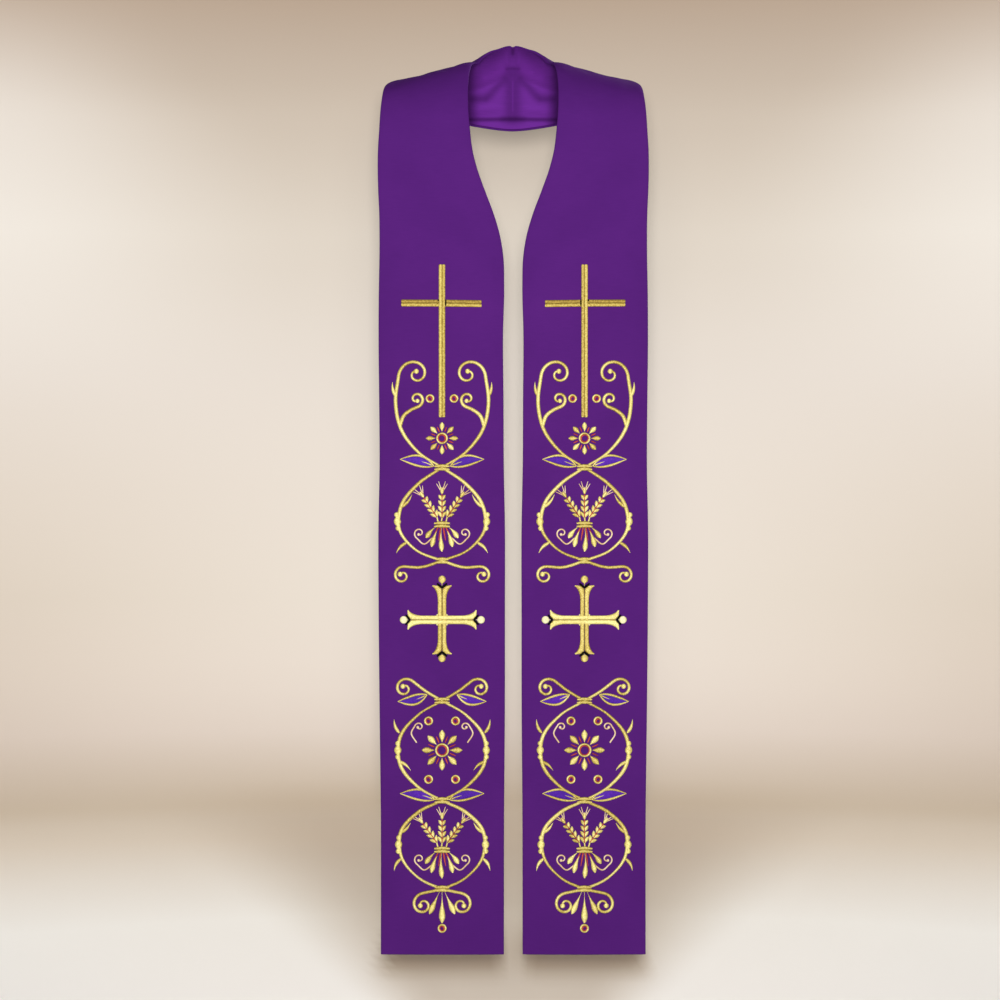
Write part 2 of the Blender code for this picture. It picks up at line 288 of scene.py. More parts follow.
def crease_height(s, t, side, creases=CREASES, taper=0.0):
    """How far the creases move the cloth outwards, at length s and share t of the width.

    With a taper, which is a power, each crease fades away towards its ends.
    """
    here = np.stack([np.abs(LENGTH - s) / MM, t * width_at(s) / MM], axis=-1)
    total = np.zeros(here.shape[:-1])
    for crease in creases:
        if crease.side not in (BOTH, side):
            continue
        near, share = near_line(here, np.array(crease[1:3]), crease[3:5], crease.width)
        fade = np.sin(np.pi * share) ** taper if taper else 1.0
        total += crease.height * fade * near
    return total * MM


beside_neck = np.array([LENGTH - 40 * MM]), np.array([0.3])
print("crease beside the neck:", np.round(crease_height(*beside_neck, RIGHT) / MM, 2), "mm")

# %% [markdown]
# ### Fine lines at the nape
# The nape is looked at most, because the lining shows there. Its finer lines are placed as they
# are seen from the front: `x` from the back seam and `down` from the top edge. Each line also has
# a shade, which is painted shade: it tells how much darker the satin's colour is painted along the
# line. A negative shade is a painted highlight.

# %% Table of nape lines
NapeLine = namedtuple("NapeLine", "side from_x from_down to_x to_down width height shade")
NAPE_LINES = [
    NapeLine(BOTH, 11, 43, 32, 66, 5.5, 0.0, 0.30),
    NapeLine(BOTH, 38, 70.5, 56, 71, 5.0, -0.3, 0.36),
    NapeLine(BOTH, 0, 97, 80, 98, 2.6, -0.2, 0.50),
    NapeLine(BOTH, 0, 98, 14, 97.5, 5.0, 0.0, 0.20),
    NapeLine(BOTH, 0, 29, 9, 29.5, 2.2, 0.3, 0.34),
    NapeLine(BOTH, 0, 0, 0, 8, 2.6, 0.0, 0.40),
    NapeLine(BOTH, 0, 36, 0, 94, 11.0, -0.3, 0.26),
    NapeLine(BOTH, 0, 47, 0, 86, 0.8, 0.0, -0.22),
    NapeLine(BOTH, 6, 34, 6, 92, 6.5, 0.0, 0.12),
    NapeLine(BOTH, 8, 9, 7.5, 21, 2.5, -0.3, -0.12),
    NapeLine(BOTH, 0, 4, 60, 14, 15.0, 0.3, 0.32),
    NapeLine(BOTH, 12, 31, 38, 40, 9.0, 0.0, -0.28),
    NapeLine(BOTH, 66, 22, 66, 105, 14.0, 0.0, 0.60),
    NapeLine(RIGHT, 30, 36, 52, 44, 4.5, 0.3, 0.06),
    NapeLine(LEFT, 26, 34, 46, 41, 5.0, 0.3, 0.05),
    NapeLine(RIGHT, 22, 84, 50, 88, 6.0, -0.3, -0.04),
    NapeLine(LEFT, 26, 80, 54, 86, 6.5, -0.3, -0.05),
]
print(len(NAPE_LINES), "nape lines")

# %% Effect of the nape lines
NAPE_TOP = 1233.5 * MM
BEHIND_FROM, BEHIND_FADE = 10 * MM, 20 * MM


def nape_lines(points, side):
    """How far the nape lines move the cloth, and the painted shade and painted highlight that they
    lay on the satin's colour.
    """
    here = np.stack([np.abs(points[..., 0]), NAPE_TOP - points[..., 2]], axis=-1) / MM
    behind = np.clip((points[..., 1] - BEHIND_FROM) / BEHIND_FADE, 0, 1)
    height, painted_shading = np.zeros(behind.shape), np.ones(behind.shape)
    for line in NAPE_LINES:
        if line.side not in (BOTH, side):
            continue
        near = behind * near_line(here, np.array(line[1:3]), line[3:5], line.width)[0]
        height += line.height * near
        painted_shading *= 1 - line.shade * near
    return height * MM, painted_shading


on_the_seam = np.array([[0.0, 60.0, 1160.0]]) * MM
print("shine left beside the seam:", np.round(nape_lines(on_the_seam, RIGHT)[1], 2))

# %% [markdown]
# ## One surface for everything
# The outer face of the cloth is a ruled strip between the two edges, crowned a little across its
# width, with the creases added along its normal. Its edges roll back where the cloth was turned
# over, and the back seam pulls it in. `cloth_points` works on whole arrays at once, because the
# pieces together ask for several hundred thousand points.

# %% The bare surface
CROWN_LEAN = 0.8
RIDGE_SWING, RIDGE_SWING_LENGTH = 1.3 * MM, 32 * MM
SEAM_PINCH, SEAM_PINCH_WIDTH, SEAM_PINCH_FADE = 1.6 * MM, 6.5 * MM, 6
STEP_ALONG = 1.5 * MM


def unit(vectors):
    return vectors / np.linalg.norm(vectors, axis=-1, keepdims=True)


def bare_surface(s, t, side):
    """The outer face of the cloth, before its edges roll."""
    inner, outer = inner_at(s), outer_at(s)
    ahead = middle_at(s + STEP_ALONG) - middle_at(s - STEP_ALONG)
    outwards = unit(np.cross(outer - inner, ahead))
    inside = np.clip(t, 0, 1)
    bulge = crown_at(s) * np.sin(np.pi * inside**CROWN_LEAN)
    swing = RIDGE_SWING * np.exp(-(((s - RIDGE_AT) / RIDGE_SWING_LENGTH) ** 2))
    flat = inner + t[..., None] * (outer - inner)
    creases = crease_height(s, inside, side) + nape_lines(flat, side)[0]
    bulge = bulge + swing * np.sin(2 * np.pi * inside) + creases
    points = flat + outwards * bulge[..., None]
    pinch = SEAM_PINCH * np.exp(-(((LENGTH - s) / SEAM_PINCH_WIDTH) ** 2))
    points[..., 2] -= pinch * (1 - inside) ** SEAM_PINCH_FADE
    return points


print("seam pinched by", round(SEAM_PINCH / MM, 1), "mm at the neck edge")

# %% Points on the cloth
STEP_ACROSS = 0.01
EDGE_ROLL, ROLL_WIDTH = 1.0 * MM, 6.0 * MM
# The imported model's origin is on the lining at the nape, this far behind and above the hem
NAPE_BEHIND, NAPE_ABOVE = 66.87388 * MM, 1189.52564 * MM
NAPE = np.array([0.0, NAPE_BEHIND, NAPE_ABOVE])


def cloth_points(s, across, rise, side):
    """Points at length s, this far across from the neck edge, and rise outwards of the face."""
    width = width_at(s)
    t = across / width
    t0, t1 = np.clip(t - STEP_ACROSS, 0, 1), np.clip(t + STEP_ACROSS, 0, 1)
    sideways = bare_surface(s, t1, side) - bare_surface(s, t0, side)
    ahead = bare_surface(s + STEP_ALONG, t, side) - bare_surface(s - STEP_ALONG, t, side)
    outwards = unit(np.cross(sideways, ahead))
    edge = np.clip(np.minimum(across, width - across), 0, None)
    roll = EDGE_ROLL * np.clip(1 - edge / ROLL_WIDTH, 0, 1) ** 2
    return bare_surface(s, t, side) + outwards * (rise - roll)[..., None]


def placed(points, side):
    """Moves points of the right half to the frame's origin, and mirrors them for the left half."""
    points = points - NAPE
    points[..., 0] = side * np.maximum(points[..., 0], 0)
    return points


hem_corner = placed(cloth_points(np.array([0.0]), np.array([0.0]), np.array([0.0]), RIGHT), RIGHT)
print("inner corner of the right hem:", np.round(hem_corner[0] / MM, 1), "mm")

# %% [markdown]
# ## Colours and nodes
# Dyed cloth is matched to a swatch on a screen, and a screen's hex value is not linear light.
# One function turns it into the linear colour that a shader needs. Another adds a node of any
# kind and sets it up in one call, so that each material below reads as a short list of steps.

# %% Helpers for materials


def linear(hex_colour):
    """An sRGB hex value as a linear colour with full alpha."""
    channels = [int(hex_colour[k : k + 2], 16) / 255 for k in (1, 3, 5)]
    bright = [c / 12.92 if c <= 0.04045 else ((c + 0.055) / 1.055) ** 2.4 for c in channels]
    return (*bright, 1.0)


def add_node(tree, kind, settings=None, links=None, stops=()):
    """Adds a node.

    Settings name its properties or its sockets, links name sockets only, and stops are the
    (position, hex) pairs of a colour ramp.
    """
    node = tree.nodes.new(kind)
    for name, value in (settings or {}).items():
        if isinstance(name, str) and hasattr(node, name):
            setattr(node, name, value)
        else:
            node.inputs[name].default_value = value
    for name, source in (links or {}).items():
        tree.links.new(source, node.inputs[name])
    for _ in stops[2:]:
        node.color_ramp.elements.new(0.5)
    for k, (position, colour) in enumerate(stops):
        node.color_ramp.elements[k].position = position
        node.color_ramp.elements[k].color = linear(colour)
    return node


def start_material(name, roughness, metallic=0.0):
    """An empty material with its shader: returns the material, its tree and the shader node."""
    material = bpy.data.materials.new(name)
    material.use_nodes = True
    shader = material.node_tree.nodes["Principled BSDF"]
    shader.inputs["Roughness"].default_value = roughness
    shader.inputs["Metallic"].default_value = metallic
    return material, material.node_tree, shader


# A wave texture repeats every 2 pi / 20 of its coordinate at a scale of 1
WAVE_PERIOD = 2 * math.pi / 20


def threads_scale(spacing):
    """The wave texture's scale that draws one thread every `spacing` metres."""
    return WAVE_PERIOD / spacing


print("purple in linear light:", [round(c, 3) for c in linear("#5a247a")])

# %% [markdown]
# ## Material: worsted crepe
# The outside is a matt, tightly woven crepe, piece-dyed purple. Each thread is about 0.4 mm
# across. Matt yarn scatters light, so the cloth shows almost no highlight, only the faint veil of
# loose fibres that a little sheen gives. Threads that fine cannot be seen at arm's length, so the
# weave is drawn at 1.1 mm, coarse enough to show when the camera comes close. Slubs, the slightly
# thicker stretches of a thread, and a slow unevenness of the dye keep it from looking printed.

# %% Crepe
CREPE_THREAD = 1.1 * MM
CREPE_RELIEF = 0.12 * MM
SLUBS_PER_METRE = (60, 900, 1)
DYE_PATCHES_PER_METRE = 9.0

crepe, tree, shader = start_material("worsted_crepe", roughness=0.82)
shader.inputs["Sheen Weight"].default_value = 0.02
shader.inputs["Sheen Roughness"].default_value = 0.4
shader.inputs["Sheen Tint"].default_value = linear("#9a5fd0")
shader.inputs["Specular IOR Level"].default_value = 0.03
cloth_uv = add_node(tree, "ShaderNodeUVMap", {"uv_map": "cloth"}).outputs["UV"]
weave = [
    add_node(tree, "ShaderNodeTexWave",
             {"bands_direction": direction, "Scale": threads_scale(CREPE_THREAD),
              "Distortion": 1.2, "Detail": 1.0, "Detail Scale": 3.0},
             {"Vector": cloth_uv}).outputs["Fac"]
    for direction in ("X", "Y")
]
crossed = add_node(tree, "ShaderNodeMath", {"operation": "MULTIPLY"}, {0: weave[0], 1: weave[1]})
stretched = add_node(tree, "ShaderNodeMapping", {"Scale": SLUBS_PER_METRE}, {"Vector": cloth_uv})
slubs = add_node(tree, "ShaderNodeTexNoise", {"Scale": 1.0, "Detail": 2.0},
                 {"Vector": stretched.outputs["Vector"]})
dye = add_node(tree, "ShaderNodeTexNoise",
               {"Scale": DYE_PATCHES_PER_METRE, "Detail": 3.0, "Roughness": 0.55},
               {"Vector": cloth_uv})
shade = add_node(tree, "ShaderNodeMix", {"Factor": 0.35},
                 {2: dye.outputs["Fac"], 3: slubs.outputs["Fac"]})
colour = add_node(tree, "ShaderNodeValToRGB", links={0: shade.outputs[0]},
                  stops=[(0.32, "#4e1d6f"), (0.5, "#521f74"), (0.68, "#562178")])
tree.links.new(colour.outputs["Color"], shader.inputs["Base Color"])
relief = add_node(tree, "ShaderNodeBump", {"Strength": 0.35, "Distance": CREPE_RELIEF},
                  {"Height": crossed.outputs[0]})
tree.links.new(relief.outputs["Normal"], shader.inputs["Normal"])
print(crepe.name, "with threads", round(CREPE_THREAD / MM, 2), "mm apart")

# %% [markdown]
# ## Material: satin lining
# The lining is polyester satin. In satin the long warp threads float over the others, so the
# cloth is smooth and its highlight stretches across the threads. Anisotropy gives that. The dye
# looks brighter than the crepe's, because a smooth filament takes colour without the grey veil of
# loose fibres. Real filaments are a tenth of a millimetre, so the fine ribs are drawn at 0.9 mm to
# be seen at all. Its colour also carries painted shade and painted highlight: an attribute, made
# with the lining from the shades of the nape lines and the slack creases, darkens or lightens the
# satin at each place, and where it darkens the satin it also makes it rougher.

# %% Satin
SATIN_RIB = 0.9 * MM
SATIN_RELIEF = 0.05 * MM
FILAMENTS_PER_METRE = (700, 40, 1)
SATIN_ROUGHNESS, DULL_ROUGHNESS = 0.46, 0.8

satin, tree, shader = start_material("polyester_satin", roughness=SATIN_ROUGHNESS)
shader.inputs["Anisotropic"].default_value = 0.3
shader.inputs["Specular IOR Level"].default_value = 0.45
shader.inputs["Specular Tint"].default_value = linear("#9a48d8")
cloth_uv = add_node(tree, "ShaderNodeUVMap", {"uv_map": "cloth"}).outputs["UV"]
ribs = add_node(tree, "ShaderNodeTexWave",
                {"bands_direction": "X", "Scale": threads_scale(SATIN_RIB), "Distortion": 0.8,
                 "Detail": 1.0},
                {"Vector": cloth_uv})
stretched = add_node(tree, "ShaderNodeMapping", {"Scale": FILAMENTS_PER_METRE},
                     {"Vector": cloth_uv})
filaments = add_node(tree, "ShaderNodeTexNoise", {"Scale": 1.0, "Detail": 2.0},
                     {"Vector": stretched.outputs["Vector"]})
colour = add_node(tree, "ShaderNodeValToRGB", links={0: filaments.outputs["Fac"]},
                  stops=[(0.3, "#59227a"), (0.55, "#5c237d"), (0.75, "#5f2481")])
# Painted shade and painted highlight, read from the lining's points
painted_shading = add_node(tree, "ShaderNodeAttribute", {"attribute_name": "painted_shading"}).outputs["Fac"]
shaded = add_node(tree, "ShaderNodeVectorMath", {"operation": "SCALE"},
                  {0: colour.outputs["Color"], "Scale": painted_shading})
tree.links.new(shaded.outputs[0], shader.inputs["Base Color"])
dulled = add_node(tree, "ShaderNodeMapRange",
                  {"To Min": DULL_ROUGHNESS, "To Max": SATIN_ROUGHNESS}, {"Value": painted_shading})
tree.links.new(dulled.outputs["Result"], shader.inputs["Roughness"])
relief = add_node(tree, "ShaderNodeBump", {"Strength": 0.12, "Distance": SATIN_RELIEF},
                  {"Height": ribs.outputs["Fac"]})
tree.links.new(relief.outputs["Normal"], shader.inputs["Normal"])
print(satin.name, "with ribs", round(SATIN_RIB / MM, 2), "mm apart")

# %% [markdown]
# ## Materials: embroidery threads
# Gold embroidery thread is a thin strip of metallised film wound round a core. It is metal to the
# eye, but the winding breaks the mirror up, so it glows instead of reflecting. Satin stitch lays
# these threads side by side across a shape. A line of stitching looks lighter or darker as it
# turns against the light, and darker along both edges of a shape, where the stitches dive into the
# cloth. Both are painted into the colour: an attribute named `turn`, made with the stitches, holds
# that painted sheen and painted shade, and the ramp reads it. The threads are 0.4 mm thick and
# drawn every 0.9 mm.
#
# The other threads are dyed rayon: smooth, not metallic, with a soft shine.

# %% A thread's material
STITCH_SPACING = 0.9 * MM
STITCH_HEIGHT = 0.22 * MM
TENSION_PATCH = 2.6 * MM
STRAND_UNEVENNESS, TENSION_UNEVENNESS = 0.5, 0.7


def thread_material(name, stops, roughness, metallic, specular):
    """Satin stitch in one thread: ridges across the shape, and a colour with painted sheen and
    painted shade.
    """
    material, tree, shader = start_material(name, roughness, metallic)
    shader.inputs["Specular IOR Level"].default_value = specular
    uv = add_node(tree, "ShaderNodeUVMap", {"uv_map": "stitch"}).outputs["UV"]
    ridges = add_node(tree, "ShaderNodeTexWave",
                      {"bands_direction": "X", "Scale": threads_scale(STITCH_SPACING),
                       "Distortion": 0.6},
                      {"Vector": uv})
    single = add_node(tree, "ShaderNodeMapping", {"Scale": (1 / STITCH_SPACING, 120, 1)},
                      {"Vector": uv})
    strands = add_node(tree, "ShaderNodeTexNoise", {"Scale": 1.0, "Detail": 1.0},
                       {"Vector": single.outputs["Vector"]})
    tension = add_node(tree, "ShaderNodeTexNoise", {"Scale": 1 / TENSION_PATCH, "Detail": 1.0},
                       {"Vector": uv})
    # The turn attribute holds painted sheen and painted shade, and the two noises add the
    # unevenness of the thread
    mixed = add_node(tree, "ShaderNodeAttribute", {"attribute_name": "turn"}).outputs["Fac"]
    for noise, amount in ((strands, STRAND_UNEVENNESS), (tension, TENSION_UNEVENNESS)):
        uneven = add_node(tree, "ShaderNodeMath",
                          {"operation": "MULTIPLY_ADD", 1: amount, 2: -amount / 2},
                          {0: noise.outputs["Fac"]})
        mixed = add_node(tree, "ShaderNodeMath", {"operation": "ADD"},
                         {0: mixed, 1: uneven.outputs[0]}).outputs[0]
    colour = add_node(tree, "ShaderNodeValToRGB", links={0: mixed}, stops=stops)
    tree.links.new(colour.outputs["Color"], shader.inputs["Base Color"])
    relief = add_node(tree, "ShaderNodeBump", {"Strength": 0.6, "Distance": STITCH_HEIGHT},
                      {"Height": ridges.outputs["Fac"]})
    tree.links.new(relief.outputs["Normal"], shader.inputs["Normal"])
    return material


print("stitches", round(STITCH_SPACING / MM, 1), "mm apart")

# %% Table of threads
# Each ramp runs from dark to light, and the painted sheen and shade in the turn attribute pick the
# place on it
Thread = namedtuple("Thread", "name stops roughness metallic specular")
THREADS = {
    "gold": Thread("metallised_gold_thread",
                   [(0.0, "#8e7528"), (0.14, "#ab9139"), (0.35, "#cab55c"), (0.65, "#e2d480"),
                    (1.0, "#fbf3a4")], 0.45, 0.4, 0.5),
    "cream": Thread("cream_rayon_thread",
                    [(0.1, "#caa06a"), (0.5, "#ecc99a"), (0.9, "#ffecc4")], 0.45, 0.0, 0.5),
    "red": Thread("dark_red_rayon_thread",
                  [(0.1, "#7c1512"), (0.5, "#a8281a"), (0.9, "#cf4a30")], 0.45, 0.0, 0.5),
    "violet": Thread("violet_rayon_thread",
                     [(0.1, "#3e0a8c"), (0.5, "#5212a8"), (0.9, "#6828c4")], 0.5, 0.0, 0.25),
    "black": Thread("black_rayon_thread",
                    [(0.1, "#010102"), (0.5, "#020203"), (0.9, "#060508")], 0.8, 0.0, 0.1),
    "ivory": Thread("ivory_rayon_thread",
                    [(0.1, "#dccf80"), (0.5, "#f5efb4"), (0.9, "#fffbd4")], 0.45, 0.0, 0.5),
}
threads = {colour: thread_material(*thread) for colour, thread in THREADS.items()}
print("threads:", [material.name for material in threads.values()])

# %% [markdown]
# ## Making meshes
# Cloth and stitches are all built the same way: rows of points, joined to the next row by
# four-sided faces. Numpy works the points out, and one function turns rows into a mesh, gives it
# a UV map in real metres so that patterns keep their size, and shades it smooth.

# %% Rows to mesh
SHARP = math.radians(50)


def wrapped_faces(rows, columns, first=0, closed=False):
    """Faces that join each row, a closed loop of points, to the next one."""
    faces = []
    for r in range(rows if closed else rows - 1):
        low, high = first + r * columns, first + (r + 1) % rows * columns
        for c in range(columns):
            n = (c + 1) % columns
            faces.append((low + c, low + n, high + n, high + c))
    if not closed:
        faces.append(tuple(range(first, first + columns)))
        faces.append(tuple(range(first + (rows - 1) * columns, first + rows * columns)))
    return faces


def add_piece(name, points, faces, uv, uv_name, material, mark, values):
    """A mesh object with its faces pointing out, a UV map, and one number kept at each point."""
    mesh = bpy.data.meshes.new(name)
    mesh.from_pydata(points.reshape(-1, 3).tolist(), [], faces)
    bm = bmesh.new()
    bm.from_mesh(mesh)
    bmesh.ops.recalc_face_normals(bm, faces=bm.faces)
    bm.to_mesh(mesh)
    bm.free()
    layer = mesh.uv_layers.new(name=uv_name)
    corners = np.empty(len(mesh.loops), dtype=np.int32)
    mesh.loops.foreach_get("vertex_index", corners)
    layer.data.foreach_set("uv", uv.reshape(-1, 2)[corners].ravel())
    mesh.attributes.new(mark, "FLOAT", "POINT").data.foreach_set("value", values.ravel())
    mesh.shade_smooth()
    mesh.set_sharp_from_angle(angle=SHARP)
    mesh.materials.append(material)
    piece = bpy.data.objects.new(name, mesh)
    bpy.context.scene.collection.objects.link(piece)
    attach(piece, "root")
    return piece


def triangle_count(piece):
    return sum(len(face.vertices) - 2 for face in piece.data.polygons)


# %% [markdown]
# ## The two layers of cloth
# The face cloth is wider than the lining. Its edges are turned over to the inside, pressed, and
# the lining is slip-stitched just short of the edge. So each edge that shows is a soft, round fold
# about 3 mm thick, and inside it runs a narrow lip of face cloth with the lining set a little
# lower behind a groove.
#
# Each layer is a closed shell whose rows are cross-sections of the band. A column of the shell is
# a share of the width plus an offset, so the fine columns stay at the edges wherever the band
# narrows. Rows are 4 mm apart on the long flat panel and closer where it bends.

# %% Rows and columns of the shells
FINE_COLUMNS, LINING_COLUMNS, COARSE_COLUMNS = 38, 64, 10
PANEL_ROW, TURN_ROW = 4.0 * MM, 2.2 * MM
PANEL_UNTIL = 1.06
NEAR_SEAM = np.array([1.6, 1.1, 0.7, 0.35, 0.12]) * MM


def side_columns(near, count):
    """Columns from one edge to the other: near offsets, evenly spaced ones, near offsets again."""
    shares = np.linspace(0, 1, count + 2)[1:-1]
    edge = near[-1]
    share = np.concatenate([near * 0, shares, near * 0 + 1])
    offset = np.concatenate([near, edge * (1 - 2 * shares), -near[::-1]])
    return share, offset


def rows_along(start):
    """Lengths along the band at which a shell has a row."""
    flat = np.linspace(start, PANEL_UNTIL, round((PANEL_UNTIL - start) / PANEL_ROW) + 1)
    turn = np.linspace(PANEL_UNTIL, LENGTH, round((LENGTH - PANEL_UNTIL) / TURN_ROW) + 1)
    return np.concatenate([flat, turn[1:-1], LENGTH - NEAR_SEAM, [LENGTH]])


def cloth_shell(name, side, s, share, offset, depth, material, shine=1.0):
    """A closed shell from one length, and one row of columns, per cross-section."""
    columns = share.shape[-1]
    s = np.repeat(s[:, None], columns, axis=1)
    across = share * width_at(s) + offset
    points = placed(cloth_points(s, across, -depth, side), side)
    uv = np.stack([across, s], axis=-1)
    t = (across / width_at(s))[..., None]
    # Painted shade and painted highlight kept with each point: the shades of the nape lines, times
    # the painted light along the lining's slack creases
    painted_shading = nape_lines(inner_at(s) * (1 - t) + outer_at(s) * t, side)[1] * shine
    faces = wrapped_faces(len(points), columns)
    return add_piece(name, points, faces, uv, "cloth", material, "painted_shading", painted_shading)


print(len(rows_along(0.0)), "rows along each half")

# %% Rolled edges of the face cloth
NEAR_EDGE = np.array([0.7, 1.4, 2.4, 3.8, 6.0]) * MM
EDGE_OUT, EDGE_FROM = 0.5 * MM, 0.7 * MM
EDGE_STEPS = np.radians([25, 50, 75, 105, 130, 155])
HEM_STEPS = EDGE_STEPS[:3][::-1]
EDGE_THICKNESS = 2.9 * MM
LIP_COLUMNS = np.array([0.7, 1.8, 2.1, 2.3]) * MM
# How deep the inside of the face cloth lies, against the distance from the nearest edge
LIP_DEPTHS = (np.array([1.8, 2.1, 2.3]) * MM, np.array([2.9, 2.65, 1.6]) * MM)
SEAM_DIP, SEAM_DIP_WIDTH = 0.45 * MM, 1.4 * MM


def edge_offset(steps):
    """How far in from the edge of the band each step round its rolled edge is."""
    return EDGE_FROM - (EDGE_FROM + EDGE_OUT) * np.sin(steps)


def seam_dip(s):
    """How far the surface turns in beside the back seam."""
    return SEAM_DIP * np.clip(1 - (LENGTH - s) / SEAM_DIP_WIDTH, 0, 1) ** 2


print("a rolled edge is", round(EDGE_THICKNESS / MM, 1), "mm thick")

# %% Face cloth


def face_cloth(side, suffix):
    """One half of the face cloth, with its edges and hem turned over to the inside."""
    share, offset = side_columns(NEAR_EDGE, FINE_COLUMNS)
    in_share, in_offset = side_columns(LIP_COLUMNS, COARSE_COLUMNS)
    rim = edge_offset(EDGE_STEPS)
    rim_depth = EDGE_THICKNESS / 2 * (1 - np.cos(EDGE_STEPS))
    outside, rims = len(share), len(rim)
    share = np.concatenate([share, rim * 0 + 1, in_share[::-1], rim * 0])
    offset = np.concatenate([offset, -rim, in_offset[::-1], rim[::-1]])

    rows = rows_along(LIP_DEPTHS[0][-1])
    s = np.concatenate([edge_offset(HEM_STEPS), [EDGE_FROM], LIP_DEPTHS[0][:2], rows])
    squeeze = np.concatenate([np.cos(HEM_STEPS), np.ones(len(s) - len(HEM_STEPS))])

    across = share * width_at(s)[:, None] + offset
    edge = np.minimum(across, width_at(s)[:, None] - across)
    inside = np.interp(np.minimum(edge, s[:, None]), *LIP_DEPTHS)
    depth = np.concatenate(
        [
            np.repeat(seam_dip(s)[:, None], outside, axis=1),
            np.tile(rim_depth, (len(s), 1)),
            inside[:, outside + rims : -rims],
            np.tile(rim_depth[::-1], (len(s), 1)),
        ],
        axis=1,
    )
    depth = EDGE_THICKNESS / 2 + (depth - EDGE_THICKNESS / 2) * squeeze[:, None]
    piece = cloth_shell(f"face_cloth_{suffix}", side, s, share, offset, depth, crepe)
    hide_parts(f"face_{suffix}")
    return piece


faces_of_cloth = {suffix: face_cloth(side, suffix) for suffix, side in SIDES.items()}
print("face cloth triangles:", triangle_count(faces_of_cloth["right"]))

# %% Lining
LINING_NEAR = np.array([2.4, 2.6, 3.1, 4.2, 6.0]) * MM
LINING_HIDDEN = np.array([2.4, 4.0]) * MM
# How deep the lining lies, against the distance from the nearest edge, and its hidden side
LINING_DEPTHS = (np.array([2.4, 2.6, 3.1, 3.8]) * MM, np.array([2.25, 2.65, 2.86, 2.9]) * MM)
HIDDEN_DEPTH = 1.9 * MM
SLACK_FROM, SLACK_FADE = 5 * MM, 14 * MM
# The lining's colour is painted lighter where a slack crease stands out, and darker where one sinks
SLACK_PAINTED_HIGHLIGHT = 0.08 / MM
SLACK_TAPER = 0.9


def lining_cloth(side, suffix):
    """One half of the lining, with its edge turned under behind the lip of the face cloth."""
    share, offset = side_columns(LINING_NEAR, LINING_COLUMNS)
    out_share, out_offset = side_columns(LINING_HIDDEN, COARSE_COLUMNS)
    s = np.concatenate([LINING_NEAR[:3], rows_along(LINING_NEAR[3])])
    across = share * width_at(s)[:, None] + offset
    edge = np.minimum(np.minimum(across, width_at(s)[:, None] - across), s[:, None])
    rows = np.repeat(s[:, None], across.shape[1], axis=1)
    slack = crease_height(rows, across / width_at(s)[:, None], side, SLACK_CREASES, SLACK_TAPER)
    slack *= np.clip((edge - SLACK_FROM) / SLACK_FADE, 0, 1)
    hidden = np.ones((len(s), len(out_share)))
    inside = np.interp(edge, *LINING_DEPTHS) + slack
    depth = np.concatenate([inside, hidden * HIDDEN_DEPTH], axis=1)
    # Painted highlight on the slack creases that stand out, painted shade in those that sink
    shine = np.concatenate([1 + SLACK_PAINTED_HIGHLIGHT * slack, hidden], axis=1)
    share = np.concatenate([share, out_share[::-1]])
    offset = np.concatenate([offset, out_offset[::-1]])
    piece = cloth_shell(f"lining_satin_{suffix}", side, s, share, offset, depth, satin, shine)
    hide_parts(f"lining_{suffix}")
    return piece


linings = {suffix: lining_cloth(side, suffix) for suffix, side in SIDES.items()}
print("lining triangles:", triangle_count(linings["right"]))

# %% [markdown]
# ## Satin stitch
# Nearly all the gold work is satin stitch: threads laid side by side from one edge of a shape to
# the other, over a little padding, so that the shape stands up as a soft dome. So one function
# makes a pad between two edges, and everything else, from a scroll to a grain of wheat, only has
# to say where its two edges are. Edges are drawn flat, in millimetres: `x` out from the middle
# line of the panel and `z` above the hem. Each pad is then laid on the cloth.

# %% A pad between two edges
DOME = np.radians([-90, -62, -32, 0, 32, 62, 90])
PAD_RISE, PAD_MOST = 0.30, 1.3
STITCH_FLOAT = 0.06 * MM
# Painted sheen and painted shade of the stitches, kept in the turn attribute
PAINTED_SHEEN_ANGLE = math.radians(65)
TURN_MEAN, PAINTED_SHEEN_SWING, TURN_SCATTER = 0.52, 0.22, 0.03
PAINTED_CREST_LIGHT, PAINTED_EDGE_SHADE = 0.07, 0.44

Pad = namedtuple("Pad", "flat rise uv turn closed")
rng = np.random.default_rng(12)


def satin_pad(one, other, lift=0.0, rise=PAD_RISE, most=PAD_MOST, closed=False, turn=None,
              roundness=1.0, painted_edge_shade=PAINTED_EDGE_SHADE):
    """A domed pad of stitches from the points of one edge to those of the other, in mm."""
    middle, half = (one + other) / 2, (other - one) / 2
    width = 2 * np.linalg.norm(half, axis=1)
    flat = middle[:, None] + half[:, None] * np.sin(DOME)[None, :, None]
    top = np.minimum(rise * width, most)
    dome = np.cos(DOME).clip(0) ** roundness
    height = (top[:, None] * dome + np.broadcast_to(lift, len(top))[:, None]) * MM
    along = chord_lengths(middle)
    side = np.sin(DOME)[None] * width[:, None] / 2
    uv = np.stack([np.repeat(along[:, None], len(DOME), axis=1), side], axis=-1) * MM
    uv[..., 0] += rng.uniform(0, 1)
    # Painted sheen: unless a turn is given, a line is painted lighter or darker by the way it runs,
    # with a random tone for each pad
    if turn is None:
        way = np.gradient(middle, axis=0)
        swing = np.cos(2 * (np.arctan2(way[:, 1], way[:, 0]) - PAINTED_SHEEN_ANGLE))
        turn = TURN_MEAN + PAINTED_SHEEN_SWING * swing + rng.normal(0, TURN_SCATTER)
    # Painted highlight along the crest and painted shade along both edges
    turn = np.broadcast_to(turn, len(top))[:, None] + PAINTED_CREST_LIGHT - painted_edge_shade * np.sin(DOME) ** 4
    return Pad(flat, height + STITCH_FLOAT, uv, turn, closed)


print("a pad has", len(DOME), "points across")

# %% Laying pads on a panel
DESIGN_LINE = 95 * MM


